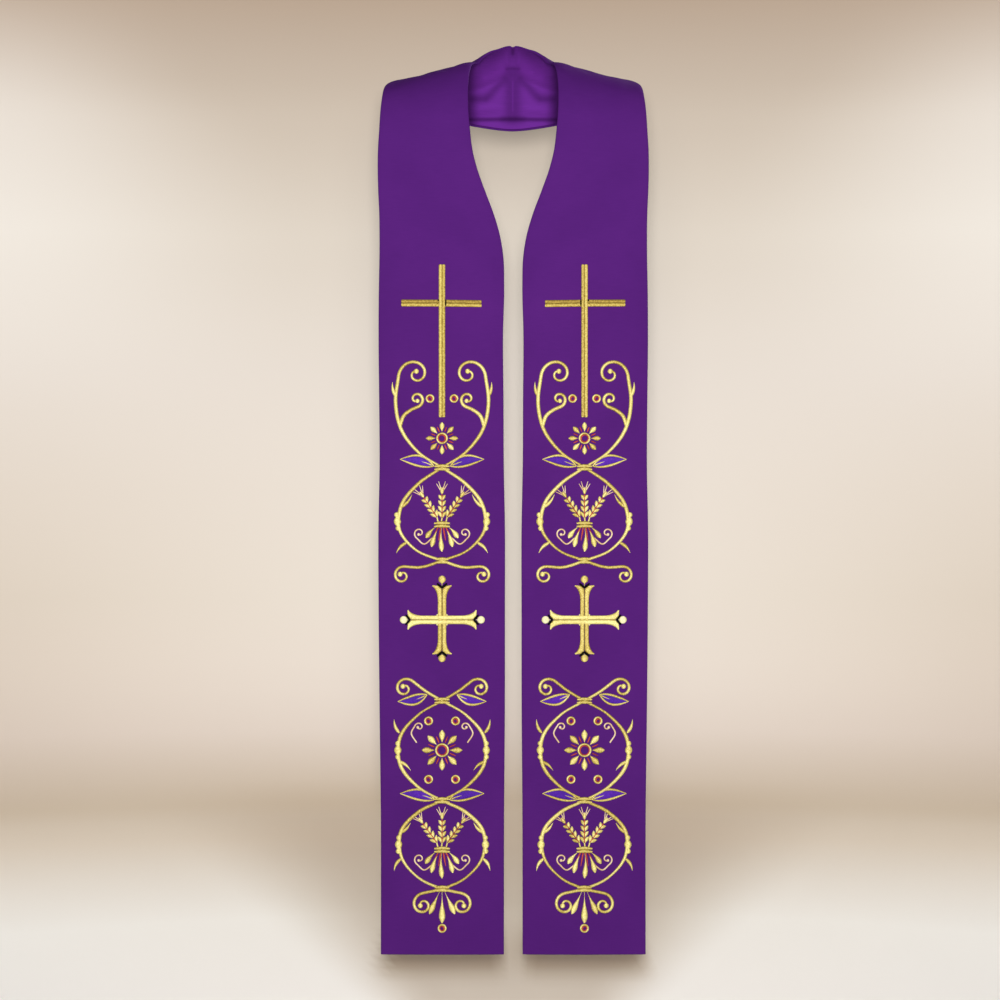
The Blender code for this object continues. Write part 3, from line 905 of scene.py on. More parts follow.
def laid_on_panel(flat, rise, side):
    """Points of the drawing, laid on the front panel of one half."""
    x, z = flat[..., 0] * MM, flat[..., 1] * MM
    s = z.copy()
    for _ in range(4):
        s += z - middle_at(s)[..., 2]
    across = DESIGN_LINE + x - inner_at(s)[..., 0]
    return placed(cloth_points(s, across, rise, side), side)


def add_stitches(name, pads, side, material):
    """Joins pads into one piece laid on the panel of one half."""
    points, faces, uvs, turns, first = [], [], [], [], 0
    for pad in pads:
        rows, columns = pad.rise.shape
        points.append(laid_on_panel(pad.flat, pad.rise, side).reshape(-1, 3))
        faces += wrapped_faces(rows, columns, first, pad.closed)
        uvs.append(pad.uv.reshape(-1, 2))
        turns.append(pad.turn.ravel())
        first += rows * columns
    return add_piece(name, np.concatenate(points), faces, np.concatenate(uvs), "stitch",
                     material, "turn", np.concatenate(turns))


print("the drawing's middle line is", round(DESIGN_LINE / MM), "mm from the centre")

# %% [markdown]
# ## Lines, curls and small shapes
# A scroll is drawn as an embroiderer draws it: a smooth line through a few points, which ends by
# winding up. The winding is a spiral whose radius shrinks by the same share with every degree, so
# it grows out of the line with no corner. The line swells and thins by a list of widths.

# %% Lines and curls
LINE_STEP = 1.5
DENSE_STEPS = 40


def line_through(points, step=LINE_STEP):
    """A smooth line through a few points, in mm, as evenly spaced points."""
    points = np.array(points, float)
    knots = chord_lengths(points)
    dense = smooth_curve(points, knots)(np.linspace(0, knots[-1], DENSE_STEPS * len(points)))
    run = chord_lengths(dense)
    even = np.linspace(0, run[-1], max(6, round(run[-1] / step)) + 1)
    return np.stack([np.interp(even, run, dense[:, k]) for k in (0, 1)], axis=1)


def with_curl(line, wide, tight, turns, way, steps_per_turn=40):
    """The line with a spiral at its end: way is 1 to wind to the left and -1 to the right."""
    steps = round(turns * steps_per_turn)
    angle = np.linspace(0, 2 * math.pi * turns, steps + 1)
    radius = wide * (tight / wide) ** (angle / angle[-1])
    last = line[-1] - line[-2]
    heading = math.atan2(last[1], last[0]) + way * (angle[:-1] + angle[1:]) / 2
    length = np.diff(angle) * (radius[:-1] + radius[1:]) / 2
    moves = np.stack([np.cos(heading), np.sin(heading)], axis=1) * length[:, None]
    return np.concatenate([line, line[-1] + np.cumsum(moves, axis=0)])


def line_pad(line, widths, lift=0.0, **more):
    """Satin stitch along a line, with its width read from evenly spaced widths in mm."""
    share = np.linspace(0, 1, len(line))
    width = np.interp(share, np.linspace(0, 1, len(widths)), widths)
    way = unit(np.gradient(line, axis=0))
    normal = np.stack([-way[:, 1], way[:, 0]], axis=1) * width[:, None] / 2
    if np.ndim(lift):
        lift = np.interp(share, np.linspace(0, 1, len(lift)), lift)
    return satin_pad(line + normal, line - normal, lift, **more)


scroll = with_curl(line_through([(0, 0), (20, 30), (40, 40)]), 20, 4, 1.2, -1)
print("a trial scroll is", round(chord_lengths(scroll)[-1]), "mm long")

# %% Balls, rings and petals
BALL_ANGLES = np.radians(np.linspace(8, 172, 11))
BALL_RISE = 0.26
RING_STEPS = 28
PETAL_STEPS = 13
PETAL_BLUNT, PETAL_THINNEST = 0.8, 0.5


def ball_pad(centre, radius, lift=0.0, **more):
    """A round pad, such as the one in the eye of a curl."""
    x, z = radius * np.sin(BALL_ANGLES), radius * np.cos(BALL_ANGLES)
    centre = np.asarray(centre, float)
    return satin_pad(centre + np.stack([-x, z], axis=1), centre + np.stack([x, z], axis=1),
                     lift, rise=BALL_RISE, **more)


def ring_pad(centre, radius, width, lift=0.0, **more):
    """A closed ring of stitches round a point."""
    angle = np.linspace(0, 2 * math.pi, RING_STEPS, endpoint=False)
    ray = np.stack([np.cos(angle), np.sin(angle)], axis=1)
    centre = np.asarray(centre, float)
    return satin_pad(centre + ray * (radius - width / 2), centre + ray * (radius + width / 2),
                     lift, closed=True, **more)


def side_of(direction):
    """The direction a quarter turn to the left of another."""
    return np.array([-direction[1], direction[0]]) / np.linalg.norm(direction)


def petal_pad(base, tip, width, bend=0.0, lift=0.0, fullest=0.6, **more):
    """A drop shape from base to tip, fullest at that share of its length, bent to one side."""
    base, tip = np.asarray(base, float), np.asarray(tip, float)
    share = np.linspace(0, 1, PETAL_STEPS)
    line = base + share[:, None] * (tip - base)
    line += side_of(tip - base) * (bend * np.sin(np.pi * share))[:, None]
    power = math.log(0.5) / math.log(fullest)
    swell = np.sin(np.pi * np.clip(share, 0.02, 0.985) ** power) ** PETAL_BLUNT
    return line_pad(line, np.maximum(swell * width, PETAL_THINNEST), lift, **more)


print("a ring has", RING_STEPS, "rows of stitches, and a petal", PETAL_STEPS)

# %% [markdown]
# ## The two crosses
# The tall Latin cross is two rows of stitches side by side in each bar, so a groove runs down the
# middle. The upright is worked last and lies over the crossbar, and the arms aren't quite level.
# Where they meet, a short black mark beside the upright on each side is painted shadow in the gap
# there. The Greek cross below it has four arms that part at their ends like a fork. Each half of an
# arm is its own pad, with a fold of black thread in the fork and a round pearl of stitches beyond
# it.

# %% Latin cross
LATIN_FOOT, LATIN_TOP, LATIN_SPAN = 717.0, 920.6, 107.2
LATIN_CROSSING = LATIN_TOP - 51.5
LATIN_LEAN = 0.8
OUTER_ARM_UP, INNER_ARM_DOWN = 0.2, 0.7
UPRIGHT_ROW, CROSSBAR_ROW = 4.5, 4.85
UPRIGHT_LIFT = 0.45
CROSS_RISE, CROSS_ROUNDNESS = 1.3, 0.55
LATIN_PAINTED_EDGE_SHADE = 0.2
BAR_STEP = 2.0
# A bar narrows this much, this far from its end, and its two rows overlap a little
BAR_END, BAR_NARROWING = [0.0, 0.35, 1.2], [1.4, 0.5, 0.0]
ROW_OVERLAP = 0.12


def straight_rows(start, end, row_width, lift, turns):
    """Two rows of satin stitch side by side along a bar, with square but softened ends."""
    start, end = np.array(start, float), np.array(end, float)
    length = np.linalg.norm(end - start)
    way = (end - start) / length
    near = BAR_END[1:]
    inner = np.linspace(near[1], length - near[1], round(length / BAR_STEP))
    along = np.concatenate([[0.0, near[0]], inner, [length - near[0], length]])
    width = row_width - np.interp(np.minimum(along, length - along), BAR_END, BAR_NARROWING)
    pads = []
    for row, turn in zip((-1, 1), turns):
        line = start + along[:, None] * way + side_of(way) * row * (row_width / 2 - ROW_OVERLAP)
        half = side_of(way) * width[:, None] / 2
        pads.append(satin_pad(line + half, line - half, lift, most=CROSS_RISE, turn=turn,
                              roundness=CROSS_ROUNDNESS, painted_edge_shade=LATIN_PAINTED_EDGE_SHADE))
    return pads


crossing, arm = (0, LATIN_CROSSING), LATIN_SPAN / 2
outer_end = (LATIN_LEAN + arm, LATIN_CROSSING + OUTER_ARM_UP)
inner_end = (LATIN_LEAN - arm, LATIN_CROSSING - INNER_ARM_DOWN)
# The turns paint one row of each bar lighter than the other: painted light and painted shade
latin_pads = straight_rows(crossing, outer_end, CROSSBAR_ROW, 0.0, (0.20, 0.0))
latin_pads += straight_rows(crossing, inner_end, CROSSBAR_ROW, 0.0, (0.0, 0.20))
latin_pads += straight_rows((0, LATIN_FOOT), (0, LATIN_TOP), UPRIGHT_ROW, UPRIGHT_LIFT,
                            (0.34, 0.20))
# The first two black marks are painted shadow beside the upright where it crosses the bar
black_thread_and_shadow_pads = [
    line_pad(line_through([(x, LATIN_CROSSING + low), (x, LATIN_CROSSING + high)]),
             [1.2, 2.0, 2.0, 1.2], 1.25, turn=0.5)
    for x, low, high in ((-5.0, -4.0, 4.4), (4.9, 2.2, 5.0))
]
print("Latin cross:", len(latin_pads), "pads")

# %% Arms of the Greek cross
GREEK_CENTRE = 446.9
GREEK_SHAFT = 11.5
GROOVE = 0.10
FORK_FLARE, FORK_REACH, FORK_SWEEP = 20.0, 45.7, 10.8
FORK_TURN = math.radians(72)
FORK_INSIDE = [(0.0, 0.1, FORK_REACH - FORK_FLARE), (0.52, 0.1, 41.4), (0.78, 5.6, 45.8),
               (1.0, 12.4, 46.3)]


def turned(points, quarter):
    """Points about the origin, turned by quarter turns and moved to the Greek cross."""
    angle = quarter * math.pi / 2
    spin = np.array([[math.cos(angle), math.sin(angle)], [-math.sin(angle), math.cos(angle)]])
    return np.asarray(points, float) @ spin + (0.0, GREEK_CENTRE)


def arm_half(way):
    """Both edges of half an arm that points up, from the centre to the tip of its fork."""
    straight = np.linspace(0.0, FORK_REACH - FORK_FLARE, 14)
    angle = np.linspace(0, FORK_TURN, 18)[1:]
    flare_x = GREEK_SHAFT / 2 + FORK_SWEEP * (1 - np.cos(angle))
    flare_z = FORK_REACH - FORK_FLARE * (1 - np.sin(angle))
    at, inside_x, inside_z = np.transpose(FORK_INSIDE)
    share = np.linspace(0, 1, 18)[1:]
    edges = []
    for shaft_x, fork_x, fork_z in (
        (GREEK_SHAFT / 2, flare_x, flare_z),
        (GROOVE, np.interp(share, at, inside_x), np.interp(share, at, inside_z)),
    ):
        edge_x = np.append(straight * 0 + shaft_x, fork_x)
        edges.append(np.stack([edge_x, np.append(straight, fork_z)], 1) * (way, 1))
    return edges


print("the fork of an arm is", round(2 * FORK_INSIDE[-1][1], 1), "mm wide inside")

# %% Greek cross
# Painted sheen: the level arms are painted lighter than the upright ones, one half of each arm a
# little lighter than the other
ARM_PAINTED_SHEENS = (0.40, 0.72, 0.36, 0.76)
LEVEL_LIFT = 0.15
PEARLS_AT, PEARL_R = (54.0, 52.0, 51.4, 51.2), 5.05
CHEVRON = [(-0.4, 43.0), (3.2, 45.4), (6.7, 48.8)]
CORNER = [(5.2, 5.2), (7.6, 6.6)]

greek_pads, pearl_pads = [], []
for quarter, (turn, pearl_at) in enumerate(zip(ARM_PAINTED_SHEENS, PEARLS_AT)):
    level = quarter % 2 == 1
    for way in (1, -1):
        outer, inner = (turned(edge, quarter) for edge in arm_half(way))
        greek_pads.append(satin_pad(outer, inner, LEVEL_LIFT if level else 0.0, most=CROSS_RISE,
                                    turn=turn + 0.05 * way, roundness=CROSS_ROUNDNESS))
        chevron = line_through([(way * x, z) for x, z in CHEVRON], 0.9)
        black_thread_and_shadow_pads.append(line_pad(turned(chevron, quarter), [2.6, 3.4, 3.3, 1.8], 0.1, turn=0.5))
        corner = line_through([(way * x, z) for x, z in CORNER], 0.6)
        pearl_pads.append(line_pad(turned(corner, quarter), [1.4, 1.6, 0.8], 0.0, turn=0.3))
    pads, pearl_painted_sheen = (pearl_pads, 0.6) if level else (greek_pads, 0.45)
    tail = turned([(0, 44.4), (0, pearl_at - 1.5)], quarter)
    pads.append(petal_pad(tail[0], tail[1], 5.0, fullest=0.8, turn=pearl_painted_sheen))
    pads.append(ball_pad(turned([(0, pearl_at)], quarter)[0], PEARL_R, 0.1, turn=pearl_painted_sheen))
print("Greek cross:", len(greek_pads), "gold pads,", len(black_thread_and_shadow_pads), "black on both crosses")

# %% [markdown]
# ## The ornament
# Old church embroidery fills a stole with scrolls that cross and part on the middle line. This
# ornament is a new drawing in that manner: two stems that cross like a plait, with sheaves of
# wheat and rosettes of rings in the openings, and leaves with a violet heart where the stems meet.
# Each motif is a short function that adds its pads to the threads it uses. The right half of the
# drawing is drawn, and the left half is its mirror image.

# %% Motifs: leaves and rings
work = {"gold": [], "cream": [], "red": [], "violet": []}
sew_gold, sew_cream, sew_red, sew_violet = (pads.append for pads in work.values())
LEAF_HEART = 0.86
LEAF_EDGE, LEAF_VEIN = [1.6, 3.0, 3.4, 2.8, 1.0], [2.0, 1.6, 0.7]
RING_GOLD, RING_RED = 2.6, 1.9
RING_GAP = 2.4


def flipped(points, way):
    return np.asarray(points, float) * (way, 1)


def ray_at(angle):
    """The direction of an angle in radians, counted from straight out."""
    return np.array([math.cos(angle), math.sin(angle)])


def leaf(base, tip, width, bend, way):
    """An almond leaf: a violet heart, a gold edge on each side and a gold vein."""
    base, tip = flipped(base, way), flipped(tip, way)
    share = np.linspace(0, 1, 17)
    across = side_of(tip - base)
    spine = base + share[:, None] * (tip - base)
    spine += across * (bend * way * np.sin(np.pi * share))[:, None]
    swell = (width / 2 * np.sin(np.pi * share**0.85))[:, None] * across
    heart = swell * LEAF_HEART
    sew_violet(satin_pad((spine + heart)[1:-1], (spine - heart)[1:-1], rise=0.1, most=0.8))
    for edge in (1, -1):
        sew_gold(line_pad(spine + edge * swell, LEAF_EDGE, 0.15))
    sew_gold(line_pad(spine[1:11], LEAF_VEIN, 0.35))


def ring(centre, radius, way=1):
    """A gold ring with a dark red rim inside it."""
    centre = flipped(centre, way)
    sew_gold(ring_pad(centre, radius, RING_GOLD, 0.1))
    sew_red(ring_pad(centre + (0.3, -0.25), radius - RING_RED, RING_RED))


def rosette(centre, petals, inner, outer, width):
    """Petals round a ring, with a red thread between each two petals."""
    centre = np.asarray(centre, float)
    ring(centre, inner - RING_GAP)
    for k in range(petals):
        angle = math.pi / 2 + 2 * math.pi * k / petals
        ray = ray_at(angle)
        sew_gold(petal_pad(centre + ray * inner, centre + ray * outer, width, lift=0.1))
        ray = ray_at(angle + math.pi / petals)
        red = np.array([centre + ray * (inner + 0.5), centre + ray * (outer * 0.66 + 2)])
        sew_red(line_pad(line_through(red, 1.0), [1.2, 2.0, 0.8]))


rosette((0, 689), 8, 9.0, 21.5, 6.6)
print("rosette pads:", {name: len(pads) for name, pads in work.items()})

# %% Motif: ear of wheat
GRAIN_WIDTH, TOP_GRAIN_WIDTH = 4.9, 5.0
BEARDS = ((0.62, 10), (0.3, 13), (-0.3, 13), (-0.62, 10))


def wheat_ear(base, tip, grains, size):
    """An ear of wheat: paired grains along a stalk, a grain on top and thin beards."""
    direction = unit(tip - base)
    normal = side_of(direction)
    length = np.linalg.norm(tip - base)
    for k in range(grains):
        at = base + direction * length * k / grains
        reach = size * (1.0 - 0.05 * k)
        for edge in (1, -1):
            end = at + direction * reach * 0.84 + normal * edge * reach * 0.56
            sew_gold(petal_pad(at + normal * edge * 0.9, end, GRAIN_WIDTH, bend=-edge * 0.9,
                               lift=0.12, fullest=0.55))
        red = [at + direction * 0.6, at + direction * (length / grains + 1.4)]
        sew_red(line_pad(line_through(red, 1.0), [1.2, 1.6, 1.0], 0.5))
    top = base + direction * length
    sew_gold(petal_pad(top, top + direction * size, TOP_GRAIN_WIDTH, lift=0.2, fullest=0.5))
    for spread, reach in BEARDS:
        start = top + direction * size * 0.45 + normal * spread * 2.0
        end = start + (direction + normal * spread) * reach
        sew_cream(line_pad(line_through([start, end], 1.2), [1.5, 1.3, 0.7], 0.1))


print("an ear has", len(BEARDS), "beards")

# %% Motif: bound sheaf
BINDING_WIDTHS, BAR_PITCH = [2.4, 4.2, 4.6, 4.2, 2.4], 4.2
EAR_GRAINS, GRAIN_LENGTH = 4, 10.0
STALK_WIDTH = 7.0


def binding(height, half_width, bars=2, lift=0.9):
    """Short bars across the middle line that tie stems together."""
    for k in range(bars):
        z = height + (k - (bars - 1) / 2) * BAR_PITCH
        bar = line_through([(-half_width, z - 0.5), (0, z + 0.2), (half_width, z - 0.5)], 1.0)
        sew_gold(line_pad(bar, BINDING_WIDTHS, lift))


def both_ways(tilt):
    """A piece on the middle line is drawn once, and one that leans is drawn on both sides."""
    return (1,) if tilt == 0 else (1, -1)


def sheaf(tie, ears, stalks, ear_length):
    """A bound sheaf: ears fan out above the tie, given by tilt and height, and stalks below it."""
    tie_point = np.array([0.0, tie])
    for tilt, rise in ears:
        ray = ray_at(math.radians(90 - tilt))
        start = tie_point + (6.0 * ray[0], 0)
        base = tie_point + ray * rise
        for way in both_ways(tilt):
            stem = line_through(flipped([start, (start + base) / 2 + (0.6, 0), base], way), 1.5)
            sew_gold(line_pad(stem, [2.4, 2.2, 2.0], 0.1))
            wheat_ear(flipped(base, way), flipped(base + ray * ear_length, way), EAR_GRAINS,
                      GRAIN_LENGTH)
    for tilt, fall in stalks:
        ray = ray_at(math.radians(tilt - 90))
        start = tie_point + (5.5 * ray[0], 0)
        for way in both_ways(tilt):
            sew_gold(petal_pad(flipped(start, way), flipped(tie_point + ray * fall, way),
                               STALK_WIDTH, bend=way * 1.6, lift=0.08, fullest=0.8))
    for low, high, reach in zip(stalks, stalks[1:], (0.66, 0.6)):
        ray = ray_at(math.radians((low[0] + high[0]) / 2 - 90))
        red = [tie_point + (5.0 * ray[0], 0), tie_point + ray * high[1] * reach]
        for way in (1, -1):
            sew_red(line_pad(line_through(flipped(red, way), 1.0), [1.6, 2.2, 0.8]))
    binding(tie, 10.5)


print("a sheaf's ears have", 2 * EAR_GRAINS + 1, "grains each")

# %% Motifs: tendrils, barbs and buds
TENDRIL_WIDTH, BARB_WIDTH = 2.0, 4.6
BUD_LENGTH, BUD_WIDTH, BUD_COLLAR = 15.0, 9.6, 3.5


def tendril(points, curl, way):
    """A thin cream shoot that winds up."""
    line = flipped(with_curl(line_through(points), *curl), way)
    sew_cream(line_pad(line, [TENDRIL_WIDTH, TENDRIL_WIDTH, TENDRIL_WIDTH * 0.8]))
    sew_cream(ball_pad(line[-1], 1.9, 0.1))


def barb(base, tip, bend, way):
    """A short pointed shoot that leaves a stem, like the spur of a leaf."""
    sew_gold(petal_pad(flipped(base, way), flipped(tip, way), BARB_WIDTH, bend=bend * way,
                       fullest=0.28, lift=0.1))


def bud(at, heading, way):
    """A swelling on a stem, with a collar on either side of it."""
    at, half = np.asarray(at, float), ray_at(math.radians(heading)) * BUD_LENGTH
    sew_gold(petal_pad(flipped(at - half * 0.5, way), flipped(at + half * 0.5, way), BUD_WIDTH,
                       fullest=0.5, lift=0.45))
    for step in (-0.6, 0.6):
        sew_gold(ball_pad(flipped(at + half * step, way), BUD_COLLAR, 0.5))


print("a bud is", BUD_LENGTH, "mm long")

# %% [markdown]
# ### The plaited stems
# The two stems of a pair are one line and its mirror image. Where they cross, one lies over the
# other, so each line carries a list of lifts, and the mirrored line carries it the other way
# round. That small lift is what makes the plait read as a plait from close by. The widths swell
# on the outside of each bend and thin out at the crossings, as a pen stroke would.

# %% Stems
OVER = 0.55


def stem_pair(points, start_curl, end_curl, widths, overs):
    """Two mirrored stems through the points, wound up at both ends, with a ball in each curl."""
    line = with_curl(line_through(points), *end_curl)
    line = with_curl(line[::-1], *start_curl)[::-1]
    for way, lift in ((1, overs), (-1, [OVER - v for v in overs])):
        stem = flipped(line, way)
        sew_gold(line_pad(stem, widths, lift))
        for tip, before in ((stem[0], stem[2]), (stem[-1], stem[-3])):
            sew_gold(ball_pad(tip + unit(tip - before) * 0.8, 3.4, 0.3))


UPPER_STEM = [(58, 772), (62, 738), (54, 700), (31, 670), (0, 650), (-32, 628), (-54, 600),
              (-57, 568), (-36, 541), (0, 526), (30, 517), (50, 518)]
LOWER_STEM = [(39, 365), (22, 352), (0, 339), (-32, 320), (-56, 290), (-56, 254),
              (-32, 224), (0, 206), (32, 190), (55, 164), (54, 130), (32, 103), (0, 88),
              (-26, 82)]
UPPER_WIDTHS = [2.7, 4.1, 5.0, 4.8, 3.1, 4.8, 5.0, 3.2, 4.1, 3.8, 2.6]
LOWER_WIDTHS = [2.6, 4.0, 4.0, 3.1, 5.0, 5.0, 3.1, 5.0, 5.0, 3.1, 4.1, 4.0, 2.6]
stem_pair(UPPER_STEM, (24, 4.2, 1.25, 1), (13, 3.8, 1.15, -1), UPPER_WIDTHS,
          [0, 0, 0, OVER, OVER, 0.1, 0.0, 0.0, 0.05, 0.05])
stem_pair(LOWER_STEM, (15, 3.8, 1.2, -1), (16, 4.0, 1.25, 1), LOWER_WIDTHS,
          [0.05, 0.0, OVER, OVER, 0.1, 0.05, 0.0, OVER, OVER, 0.1, 0.0, 0.0])
print("stems drawn,", len(work["gold"]), "gold pads")

# %% Upper ornament
sheaf(574, [(0, 9), (34, 12)], [(0, 36), (25, 33), (50, 28)], 31)
for way in (1, -1):
    branch = line_through([(56, 706), (51, 719), (41, 727), (32, 731)])
    branch = flipped(with_curl(branch, 11, 3.2, 1.05, -1), way)
    sew_gold(line_pad(branch, [5.2, 4.6, 3.6, 2.6], 0.1))
    sew_gold(ball_pad(branch[-1], 3.0, 0.2))
    leaf((11, 652), (56, 661), 13.5, 3.0, way)
    barb((61, 744), (66, 764), -2.0, way)
    barb((57, 596), (40, 614), 2.5, way)
    barb((47, 550), (61, 536), 2.0, way)
    bud((59.5, 578), 84, way)
    tendril([(13, 556), (24, 548), (34, 556)], (8, 2.4, 1.0, 1), way)
    ring((16, 742), 4.6, way)
binding(650, 10)
binding(526, 8.5)
print("upper ornament sewn,", len(work["gold"]), "gold pads")

# %% Lower ornament
rosette((0, 273), 8, 10.5, 27.0, 8.0)
for way in (1, -1):
    for z in (312, 234):
        ring((18, z), 4.8, way)
    leaf((10, 207), (56, 215), 13.5, 3.0, way)
    leaf((20, 347), (59, 338), 12.0, -3.0, way)
    barb((57, 296), (64, 314), -2.0, way)
    barb((58, 258), (42, 246), -2.0, way)
    bud((59, 273), 90, way)
    barb((55, 128), (64, 112), 2.0, way)
    barb((57, 162), (42, 176), 2.0, way)
    bud((58, 147), 92, way)
    tendril([(34, 283), (41, 296), (36, 306)], (6, 2.2, 0.9, 1), way)
    tendril([(13, 120), (24, 113), (34, 121)], (8, 2.4, 1.0, 1), way)
binding(339, 10)
binding(206, 10)
sheaf(140, [(0, 9), (36, 12)], [(0, 38), (25, 34), (50, 29)], 31)
binding(88, 9.5)
for way in (1, -1):
    sew_gold(petal_pad(flipped((3, 85), way), flipped((17, 54), way), 7.6, lift=0.1,
                       fullest=0.76))
sew_gold(petal_pad((0, 85), (0, 42), 8.6, lift=0.2, fullest=0.78))
ring((0, 35), 4.8)
print("pads in all:", {name: len(pads) for name, pads in work.items()})

# %% [markdown]
# ## Laying the stitches on both panels
# The drawing is the same on both halves. Each thread becomes one joined piece on each panel,
# which keeps thousands of little shapes easy to handle, and each cross stands for its own node.

# %% Stitched pieces
Sewing = namedtuple("Sewing", "name pads thread node")
SEWING = [
    Sewing("latin_cross_stitches", latin_pads, "gold", "latin_cross"),
    Sewing("greek_cross_stitches", greek_pads, "gold", "greek_cross"),
    Sewing("black_thread_and_painted_shadow", black_thread_and_shadow_pads, "black", None),
    Sewing("cross_pearls", pearl_pads, "ivory", None),
    Sewing("gold_ornament", work["gold"], "gold", None),
    Sewing("wheat_beards", work["cream"], "cream", None),
    Sewing("red_ornament", work["red"], "red", None),
    Sewing("leaf_hearts", work["violet"], "violet", None),
]
on_the_face = {suffix: [] for suffix in SIDES}
for suffix, side in SIDES.items():
    for sewing in SEWING:
        piece = add_stitches(f"{sewing.name}_{suffix}", sewing.pads, side, threads[sewing.thread])
        if sewing.node:
            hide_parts(f"{sewing.node}_{suffix}")
        on_the_face[suffix].append(piece)
    print(suffix, {piece.name: triangle_count(piece) for piece in on_the_face[suffix]})

# %% [markdown]
# ## The cut of the cloth
# A maker cuts each half of the face cloth, and of the lining, in one piece. Laid flat it is as
# long as the band's middle line. Its area is the width added up along that length. The shells
# must have nearly this area, because cloth hardly stretches.

# %% Cut of each half
lengths = np.linspace(0, LENGTH, 400)
cut_width = float(width_at(lengths).max())
cut_area = float(np.trapz(width_at(lengths), lengths))
print(f"cut {cut_width / MM:.0f} by {LENGTH / MM:.0f} mm, {cut_area:.4f} square metres")

# %% [markdown]
# ## The studio
# A pale floor curves up into a round wall, far enough away that a camera can go all the way
# round. It could be a plain flat backdrop, but then the stole would hang before nothing when it
# is seen from the side. The sweep throws no shadow and no light back, so the soft suns outside it
# still reach the stole.

# %% Shape of the sweep
FLOOR_BELOW_HEM = 0.28
WALL_RADIUS, WALL_CURVE, WALL_HEIGHT = 5.4, 1.6, 4.2
WALL_SEGMENTS = 480
WALL_ROW = 0.08

floor_z = cad_low[2] - FLOOR_BELOW_HEM
profile = [(r, 0.0) for r in np.arange(0.0, WALL_RADIUS - WALL_CURVE, WALL_ROW)]
for degrees in range(0, 91, 5):
    angle = math.radians(degrees)
    profile.append((WALL_RADIUS - WALL_CURVE * (1 - math.sin(angle)),
                    WALL_CURVE * (1 - math.cos(angle))))
profile += [(WALL_RADIUS, z) for z in np.arange(WALL_CURVE + WALL_ROW, WALL_HEIGHT, WALL_ROW)]
bm = bmesh.new()
line = [bm.verts.new((r, 0, floor_z + z)) for r, z in profile]
edges = [bm.edges.new(pair) for pair in zip(line, line[1:])]
bmesh.ops.spin(bm, geom=line + edges, cent=(0, 0, 0), axis=(0, 0, 1), angle=2 * math.pi,
               steps=WALL_SEGMENTS, use_merge=True)
bmesh.ops.remove_doubles(bm, verts=bm.verts, dist=0.001)
stage_mesh = bpy.data.meshes.new("studio_cove")
bm.to_mesh(stage_mesh)
bm.free()
stage_mesh.shade_smooth()
cove = bpy.data.objects.new("studio_cove", stage_mesh)
bpy.context.scene.collection.objects.link(cove)
cove.visible_shadow = False
cove.visible_diffuse = False
cove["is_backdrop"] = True
print("floor at", round(floor_z, 3), "m")

# %% [markdown]
# ### Painted light and shadow on the sweep
# The paint of the sweep is graded with painted light and painted shadow: lighter to the sides at
# the top and lighter behind the stole, and darker on the floor where the stole keeps the light
# away, as a painted shadow of the stole. `up` is the way up the sweep from its middle: first out
# along the floor, then up the wall. A table says how light the paint is behind the stole and far
# aside at each `up`, and how far out it starts to change.

# %% Tables of the grading
Grade = namedtuple("Grade", "up behind aside start")
PAINTED_LIGHT_GRADES = [
    Grade(1.2, 1.00, 1.15, 0.30), Grade(2.6, 1.00, 1.12, 0.40), Grade(3.7, 1.00, 1.02, 0.40),
    Grade(4.1, 1.00, 0.94, 0.40), Grade(4.5, 1.05, 0.94, 0.40), Grade(5.1, 1.14, 0.94, 0.35),
    Grade(5.6, 1.12, 0.92, 0.35), Grade(6.1, 1.05, 0.92, 0.40), Grade(6.5, 1.01, 0.95, 0.50),
    Grade(6.8, 0.97, 1.01, 0.60), Grade(7.1, 0.89, 1.05, 0.60), Grade(7.35, 0.86, 1.09, 0.65),
    Grade(7.55, 0.83, 1.13, 0.75), Grade(7.7, 0.84, 1.15, 0.95), Grade(7.9, 0.91, 1.10, 1.05),
    Grade(8.1, 1.00, 1.00, 1.05),
]
GRADE_UNTIL = 1.8
# Painted shadow of the stole on the floor behind it: how much a broad wedge darkens the paint,
# and the darker middle of that painted shadow, which the hems of the two panels start
FLOOR_SHADE = [(0.2, 0.0), (1.0, 0.42), (2.2, 0.46), (3.0, 0.39), (3.7, 0.24), (4.3, 0.02)]
SHADE_SLOPE, SHADE_SOFT = 0.12, 0.16
HEM_SHADE = 0.68
HEM_SHADE_NEAR, HEM_SHADE_FULL, HEM_SHADE_FAR, HEM_SHADE_END = 1.13, 1.47, 1.5, 1.95
HEM_SHADE_MIDDLE, HEM_SHADE_IN, HEM_SHADE_OUT, HEM_SHADE_SOFT = 0.008, 0.018, 0.252, 0.025
SHADE_WARMTH = np.array([0.8, 1.0, 1.25])
print("the paint is graded at", len(PAINTED_LIGHT_GRADES), "heights")

# %% Grading each point


def smooth_step(values, start, end):
    """Rises smoothly from 0 at start to 1 at end."""
    share = np.clip((values - start) / (end - start), 0, 1)
    return share**2 * (3 - 2 * share)


